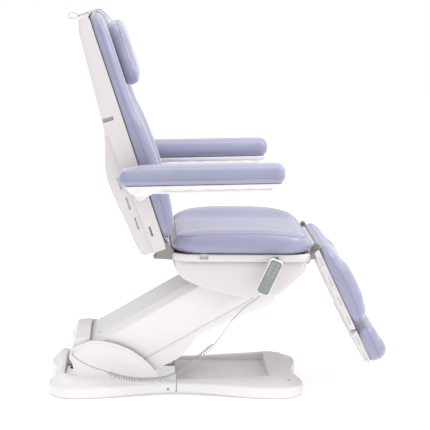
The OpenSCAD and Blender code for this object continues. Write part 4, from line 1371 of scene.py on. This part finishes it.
def tub(name, plane, outline, reach, roundings, surface):
    """A body whose sides roll in; roundings are (step in from the side, inset of the outline)."""
    stations = [(-1 + step, inset) for step, inset in roundings]
    stations += [(1 - step, inset) for step, inset in reversed(roundings)]
    front = max(b for _, b in outline)
    points = []
    for across, inset in stations:
        for a, b in outline:
            share = min((front - b) / 24, 1)
            points.append(spot(plane, a, across * reach, b + inset * share))
    faces = end_faces(len(points), len(outline)) + ring_faces(len(stations), len(outline))
    return solid_from(name, points, faces, surface)


BACK_ROLL = ((0, 20), (0.004, 11), (0.014, 6), (0.034, 2), (0.06, 0))
TRAY_ROLL = ((0, 9), (0.004, 4), (0.012, 1), (0.03, 0))
BACK_NOTCHES = ((473, 487, -68, -30), (160, 204, -80, -73), (48, 84, -36, -29),
                (236, 280, -86, -79), (84, 128, -74, -67))
BACK_CORNERS = [(836, -12, 4), (833, -37, 10), (788, -50, 40), (642, -60, 60), (490, -72, 20),
                (441, -76, 40), (332, -111, 50), (281, -120, 50), (225, -118, 60), (129, -106, 60),
                (33, -98, 20), (-10, -90, 14), (-9, -17, 10), (3, -1, 3), (820, -1, 3)]


def add_back_shell():
    """Hollow moulding behind the back cushion: a lowered panel and notches at each side."""
    reach, _ = spread_in(BACK, "back_shell")
    half = reach[3]
    # Drawn in the darker copy of the white plastic: painted shade on the back of the chair.
    shell = tub("back_moulding", BACK, filleted(BACK_CORNERS), half, BACK_ROLL, WHITE_IN_PAINTED_SHADE)
    hollow = [(a, b if b < -8 else 14) for a, b in drawn_in([c[:2] for c in BACK_CORNERS], 4.5)]
    cut_away(shell, slab("cut", BACK, hollow, -half + 24, half - 24, WHITE_IN_PAINTED_SHADE))
    cutters = []
    # The lowered panel and the notches take the dark grey on their cut faces: painted shade in the
    # recesses.
    lowered = filleted([(426, -66, 8), (434, -140, 0), (-30, -140, 0), (-30, -44, 0), (107, -51, 20),
                        (301, -59, 20), (376, -65, 20)])
    for s in (-1, 1):
        cutters.append(slab("cut", BACK, lowered, *on_side(s, half - 9, half + 4), SHADE_AND_JOINT_GREY))
        for notch in BACK_NOTCHES:
            cutters.append(slab("cut", BACK, rounded(*notch, 3),
                                *on_side(s, half - 17, half + 4), SHADE_AND_JOINT_GREY))
        lug = box_line(-30, 36, -110, 5)
        cutters.append(slab("cut", BACK, lug, *on_side(s, 214, 252), WHITE_IN_PAINTED_SHADE))
    crank = slab("cut", BACK, box_line(-30, 34, -130, 5), 150, 206, WHITE_IN_PAINTED_SHADE)
    cut_away(shell, *cutters, crank)
    rib_line = filleted([(470, -72, 2), (780, -52, 2), (780, -49, 2), (470, -66, 2)])
    ribs = [slab("rib", BACK, rib_line, y - 2, y + 2, WHITE_IN_PAINTED_SHADE) for y in (-170, 0, 170)]
    whole = joined("back_moulding_ribbed", [shell] + ribs)
    smooth_shaded(whole, 38)
    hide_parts("back_shell")
    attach(whole, "backrest")


def add_leg_shells():
    """Shallow trays under the leg and foot cushions, with slots along their sides."""
    for node, body, name, slots in (("leg_shell", "legrest", "leg_tray", 4),
                                    ("foot_shell", "footrest", "foot_tray", 2)):
        reach, (low, high) = spread_in(LEG, node)
        v0, v1, half = reach[0], reach[1], reach[3]
        outline = filleted([(v0, high, 2), (v0 + 3, low, 8), (v1 - 3, low, 8), (v1, high, 2)])
        # Drawn in the darker copy of the white plastic: painted shade under the leg and foot
        # cushions.
        tray = tub(name, LEG, outline, half, TRAY_ROLL, WHITE_IN_PAINTED_SHADE)
        hollow = [(v0 + 5, high + 3), (v0 + 5, low + 4), (v1 - 5, low + 4), (v1 - 5, high + 3)]
        cutters = [slab("cut", LEG, hollow, -half + 5, half - 5, WHITE_IN_PAINTED_SHADE)]
        middle = (low + high) / 2
        # The slots' cut faces take the dark grey: painted shade inside the slots.
        for s in (-1, 1):
            for k in range(slots):
                v = v0 + (v1 - v0) * (k + 0.5) / slots
                line = rounded(v - 17, v + 17, middle - 3, middle + 3, 2.8)
                cutters.append(slab("cut", LEG, line, *on_side(s, half - 3, half + 3), SHADE_AND_JOINT_GREY))
        if node == "leg_shell":  # room for the knee's lugs and the crank
            lug = box_line(v0 - 9, 44, low - 3, high + 3)
            cutters += [slab("cut", LEG, lug, *on_side(s, 219, 254), WHITE_IN_PAINTED_SHADE) for s in (-1, 1)]
            crank = box_line(v0 - 9, 52, low - 3, high + 3)
            cutters.append(slab("cut", LEG, crank, -206, -150, WHITE_IN_PAINTED_SHADE))
        cut_away(tray, *cutters)
        smooth_shaded(tray, 38)
        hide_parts(node)
        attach(tray, body)


ARMREST_PIVOT = (-135, 745)


def add_armrests():
    """Plates under the armrest pads, grooved along both faces."""
    outline = filleted([(-187, 784, 4), (-170, 762, 12), (-143, 751, 14), (-109, 753, 14),
                        (-93, 762, 10), (65, 766, 40), (308, 774, 20), (345, 788, 8),
                        (345, 800, 0), (-187, 785, 0)])
    hole = circle_outline(ARMREST_PIVOT, 6.4, 0, 345, 24)
    groove = 2.5  # half of each groove cutter's depth
    for side, s in SIDES:
        inner, outer = off_middle("armrest_plate_" + side)
        plate = slab("armrest_tray_" + side, FLAT, outline, *on_side(s, inner, outer), WHITE)
        cutters = []
        # The grooves' cut faces take the dark grey: painted shade inside the grooves.
        for face in (inner, outer):
            for x, z in ((-60, 771), (10, 773), (80, 775), (150, 777), (220, 779), (280, 781)):
                line = filleted([(x, z, 1.6), (x + 30, z + 1, 1.6), (x + 30, z + 5, 1.6),
                                 (x, z + 4, 1.6)])
                cutters.append(slab("cut", FLAT, line, *on_side(s, face - groove, face + groove),
                                    SHADE_AND_JOINT_GREY))
        soften(plate, 3, 3)
        cutters.append(slab("cut", FLAT, hole, *on_side(s, inner - 3, outer + 3), WHITE))
        cut_away(plate, *cutters)
        smooth_shaded(plate, 40)
        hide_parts("armrest_plate_" + side)
        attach(plate, "armrest_" + side)


# ---------------------------------------------------------------- strap, hand control, inlet


def band(name, plane, middle, y0, y1, thick, surface):
    """A strip of webbing: a side-view line with a thickness, from y0 to y1 across."""
    over, under = [], []
    for i, p in enumerate(middle):
        a = Vector(middle[max(i - 1, 0)])
        b = Vector(middle[min(i + 1, len(middle) - 1)])
        side = Vector((-(b - a).y, (b - a).x)).normalized() * thick / 2
        over.append((p[0] + side.x, p[1] + side.y))
        under.append((p[0] - side.x, p[1] - side.y))
    made = slab(name, plane, over + under[::-1], y0, y1, surface)
    soften(made, thick * 0.3, 2)
    return made


def smooth_line(points, count=6):
    """A flowing side-view line through the points."""
    line = catmull([Vector((a, b, 0)) for a, b in points], count)
    return [(p.x, p.y) for p in line]


def add_strap():
    """Elastic band from under the pillow over the back's top edge, hemmed at both sides."""
    (start, top, _, half), (low, high) = spread_in(BACK, "pillow_strap")
    line = smooth_line([(start, high - 1), (start + 22, high - 10), (top - 15, 42.8), (top - 5, 38),
                        (top - 0.8, 24), (top - 0.7, -2), (top - 0.7, low)])
    strap = band("elastic_strap", BACK, line, -half, half, 1.3, BAND)
    hems = [stitched("hem", [spot(BACK, a, y, b) for a, b in line[::2]])
            for y in (-half + 3, half - 3)]
    for hem in hems:
        for vertex in hem.data.vertices:
            vertex.co += BACK.out * 0.4 * MM + BACK.along * 0.5 * MM
    whole = joined("elastic_strap_sewn", [strap] + hems)
    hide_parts("pillow_strap")
    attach(whole, "backrest")


def add_loop():
    """The pull loop at the band's end, a flat ring."""
    (u0, u1, _, _), (low, high) = spread_in(BACK, "strap_loop")
    outer = smooth_line([(u0 + 2, high), (u0 + 14, high - 2), (u1 - 1, high - 24), (u1 - 7, low + 2),
                         (u0 + 8, low + 1), (u0 + 1, high - 16), (u0 + 2, high)], 8)[:-1]
    inner = drawn_in(outer, 2.4)
    count = len(outer)
    points = [spot(BACK, u, y, n) for y in (-7, 7) for line in (outer, inner) for u, n in line]
    faces = [(a * count + i, a * count + (i + 1) % count, b * count + (i + 1) % count, b * count + i)
             for i in range(count) for a, b in ((0, 1), (1, 3), (3, 2), (2, 0))]
    loop = solid_from("pull_tab", points, faces, LOOP)
    soften(loop, 0.5, 2)
    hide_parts("strap_loop")
    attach(loop, "backrest")


HAND_TILT = math.radians(24.5)
HAND = Plane(
    FLAT.origin + Vector((287, 0, 402)) * MM,
    Vector((math.cos(HAND_TILT), 0, -math.sin(HAND_TILT))),
    Vector((math.sin(HAND_TILT), 0, math.cos(HAND_TILT))),
)
HAND_L, HAND_W = 132, 48


def hand_outline(inset):
    """The hand control's front view, with sides that bow out a trace."""
    half = HAND_W / 2 - inset
    return filleted([(-half, inset, 11), (half, inset, 11), (half + 0.1, HAND_L * 0.5, 60),
                     (half, HAND_L - inset, 13), (-half, HAND_L - inset, 13),
                     (-half - 0.1, HAND_L * 0.5, 60)])


def hand_box(x, z, w, h, y0, y1, surface, radius=2.0):
    """A small rounded plate on the hand control's front, w by h about (x, z)."""
    line = rounded(x - w / 2, x + w / 2, z - h / 2, z + h / 2, radius)
    return slab("plate", HAND, line, y0, y1, surface)


KEY_PLAY = 0.6
MARK_DEPTH = (-0.1, 0.05)  # a printed mark's faces, from the front of its key or panel


def add_hand_control():
    """Case, panel and keys; each key sits in a well of both."""
    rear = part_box("handset_case")[1].y / MM
    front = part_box("handset_face")[0].y / MM
    panel_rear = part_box("handset_face")[1].y / MM
    case = slab("hand_case", HAND, hand_outline(0), panel_rear, rear, CASE)
    soften(case, 4.5, 4)
    keys = []
    for i in range(8):
        (x0, x1, _, _), (z0, z1) = spread_in(HAND, "key_%d" % (i + 1))
        keys.append(((x0 + x1) / 2, (z0 + z1) / 2, x1 - x0, z1 - z0))
    cut_away(case, *[hand_box(x, z, w + KEY_PLAY, h + KEY_PLAY,
                              panel_rear - 1, panel_rear + 1.5, CASE) for x, z, w, h in keys])
    joint = (panel_rear + rear) / 2
    line = slab("parting", HAND, hand_outline(-0.15), joint - 0.3, joint + 0.3, SHADE_AND_JOINT_GREY)
    nose = tube("cord_nose", [spot(HAND, 0, (front + rear) / 2, z) for z in (1, -2, -4, -7)],
                0.0042, 18, CASE, lambda i: 1 - 0.12 * i)
    case = joined("hand_case_whole", [case, line, nose])
    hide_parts("handset_case")
    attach(case, "seat")
    panel = slab("hand_panel", HAND, hand_outline(3.4), front, panel_rear + 0.2, PANEL)
    cut_away(panel, *[hand_box(x, z, w + KEY_PLAY, h + KEY_PLAY,
                               front - 1, panel_rear + 1, PANEL) for x, z, w, h in keys])
    soften(panel, 0.35, 2)
    frame_line = hand_outline(5.6)
    border = slab("border", HAND, frame_line, front - 0.12, front + 0.05, MARK)
    cut_away(border, slab("cut", HAND, drawn_in(frame_line, 0.5), front - 1, front + 1, MARK))
    dots = [hand_box(x, 50, 5, 1.2, front - 0.15, front + 0.05, MARK, 0.5) for x in (-9, 9)]
    panel = joined("hand_panel_whole", [panel, border] + dots)
    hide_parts("handset_face")
    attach(panel, "seat")
    for i, key in enumerate(keys):
        add_key(i, *key)


# Each row's figure: a lying bar and a standing one, each (x, z, length) from the key's middle.
KEY_FIGURES = (((-4.4, -2.2, 5.6), (-4.4, 0.2, 3.0)), ((-2.4, -1.0, 4.2), (-4.2, 1.2, 3.0)),
               ((-3.6, -1.0, 4.2), (-0.4, -2.2, 3.0)), ((-4.2, -1.6, 3.4), (-0.6, -0.2, 3.0)))


def add_key(i, x, z, w, h):
    """A film key with its row's figure and an arrow, up on even keys and down on odd ones."""
    name = "key_%d" % (i + 1)
    low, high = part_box(name)
    front, rear = low.y / MM, high.y / MM
    key = hand_box(x, z, w, h, front, rear, KEY)
    soften(key, 0.6, 3)
    up = 1 if i % 2 == 0 else -1
    ax = x + 3.4
    y0, y1 = (front + depth for depth in MARK_DEPTH)
    arrow = slab("arrow", HAND, [(ax - 1.4, z - 1.2 * up), (ax + 1.4, z - 1.2 * up),
                                 (ax, z + 1.7 * up)], y0, y1, MARK)
    (lx, lz, wide), (sx, sz, tall) = KEY_FIGURES[i // 2]
    lying = hand_box(x + lx + wide / 2, z + lz, wide, 0.9, y0, y1, MARK, 0.4)
    standing = hand_box(x + sx, z + sz + 0.6, 0.9, tall, y0, y1, MARK, 0.4)
    whole = joined("film_" + name, [key, arrow, lying, standing])
    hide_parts(name)
    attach(whole, name)


def add_inlet():
    """Socket for a mains lead: a black frame, a recess and three flat pins."""
    low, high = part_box("mains_inlet")
    body = block("inlet", low, high, BLACK)
    wall = Vector((0, 4, 4)) * MM
    recess_low = Vector((low.x - 0.001, low.y + wall.y, low.z + wall.z))
    recess_high = Vector((low.x + 0.011, high.y - wall.y, high.z - wall.z))
    cut_away(body, block("cut", recess_low, recess_high, WHITE))
    soften(body, 0.8, 2)
    middle = (low + high) / 2
    pins = []
    for across in (-7, 0, 7):
        place = Vector((low.x + 0.0025, middle.y + across * MM, middle.z))
        pins.append(block("pin", place - Vector((0, 0.0008, 0.0022)),
                          place + Vector((0.0095, 0.0008, 0.0022)), CHROME))
    whole = joined("inlet_socket", [body] + pins)
    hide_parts("mains_inlet")
    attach(whole, "base")


def add_links():
    """Swivel bosses that carry the armrests on the backrest's sides."""
    for side, s in SIDES:
        node = "armrest_link_" + side
        inner, outer = off_middle(node)
        disc = slab("disc", FLAT, circle_outline(ARMREST_PIVOT, 22, 0, 351, 39),
                    *on_side(s, inner, inner + 14), WHITE)
        soften(disc, 2.5, 3)
        pin = slab("pin", FLAT, circle_outline(ARMREST_PIVOT, 7.8, 0, 345, 23),
                   *on_side(s, inner + 12, outer), CHROME)
        soften(pin, 0.8, 2)
        whole = joined("swivel_" + side, [disc, pin])
        smooth_shaded(whole, 40)
        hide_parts(node)
        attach(whole, node)


add_base_covers()
add_cheeks()
add_arm_upper()
add_arm_lower()
add_end_cap()
add_seat_shell()
add_seat_board()
add_back_shell()
add_leg_shells()
add_armrests()
add_links()
add_strap()
add_loop()
add_hand_control()
add_inlet()


# ---------------------------------------------------------------- finishes of the frame's nodes

FINISH_OF = {
    BLACK: ["lift_motor", "back_motor", "leg_motor", "control_box"],
    FRAME_GREY: ["base_frame", "arm_frame", "tie_bar", "seat_frame", "back_frame", "leg_frame",
                 "foot_frame"],
    STEEL: ["hinge_brackets", "handset_hook", "base_screws"],
    CHROME: ["base_shafts", "arm_shafts", "lift_rod", "back_rod", "leg_rod"],
    RUBBER: ["levelling_feet"],
}
for surface, names in FINISH_OF.items():
    for name in names:
        for slot in NODES[name].material_slots:
            slot.material = surface

# ---------------------------------------------------------------- floor and light


def add_floor():
    """A pale floor with a trace of glow, which is a stage piece and no part of the chair."""
    size = 12
    corners = [(-size, -size, 0), (size, -size, 0), (size, size, 0), (-size, size, 0)]
    made, _, surface = shader("studio_floor", (0.9, 0.9, 0.9), 0.7)
    surface.inputs["Emission Color"].default_value = (1, 1, 1, 1)
    surface.inputs["Emission Strength"].default_value = 0.4
    floor = piece_from("floor", corners, [(0, 1, 2, 3)], made)


def add_area(name, place, aim, size, power):
    """A square lamp that faces its aim."""
    lamp = bpy.data.lights.new(name, "AREA")
    lamp.size = size
    lamp.energy = power
    made = bpy.data.objects.new(name, lamp)
    made.location = place
    made.rotation_euler = (Vector(aim) - Vector(place)).to_track_quat("-Z", "Y").to_euler()
    scene.collection.objects.link(made)


WORLD_LIGHT, WORLD_SEEN = 0.76, 1.0  # the backdrop's strength as light, and as seen


def add_light():
    world = bpy.data.worlds.new("studio")
    scene.world = world
    world.use_nodes = True
    backdrop = world.node_tree.nodes["Background"]
    backdrop.inputs["Color"].default_value = (1, 1, 1, 1)
    seen = world.node_tree.nodes.new("ShaderNodeLightPath")
    strength = world.node_tree.nodes.new("ShaderNodeMapRange")
    strength.inputs["To Min"].default_value = WORLD_LIGHT
    strength.inputs["To Max"].default_value = WORLD_SEEN
    world.node_tree.links.new(seen.outputs["Is Camera Ray"], strength.inputs["Value"])
    world.node_tree.links.new(strength.outputs["Result"], backdrop.inputs["Strength"])
    add_area("key_light", (-1.8, -3.2, 3.4), (0, 0, 0.5), 2.4, 25)
    add_area("fill_light", (2.8, -2.6, 1.8), (0, 0, 0.5), 2.4, 8)
    add_area("tray_light", (1.5, -0.4, 2.0), (0.3, 0, 0.05), 0.6, 17)
    add_area("top_light", (0.1, -0.2, 3.6), (0.1, 0, 0.3), 2.6, 48)
    scene.view_settings.view_transform = "Standard"


add_floor()
add_light()
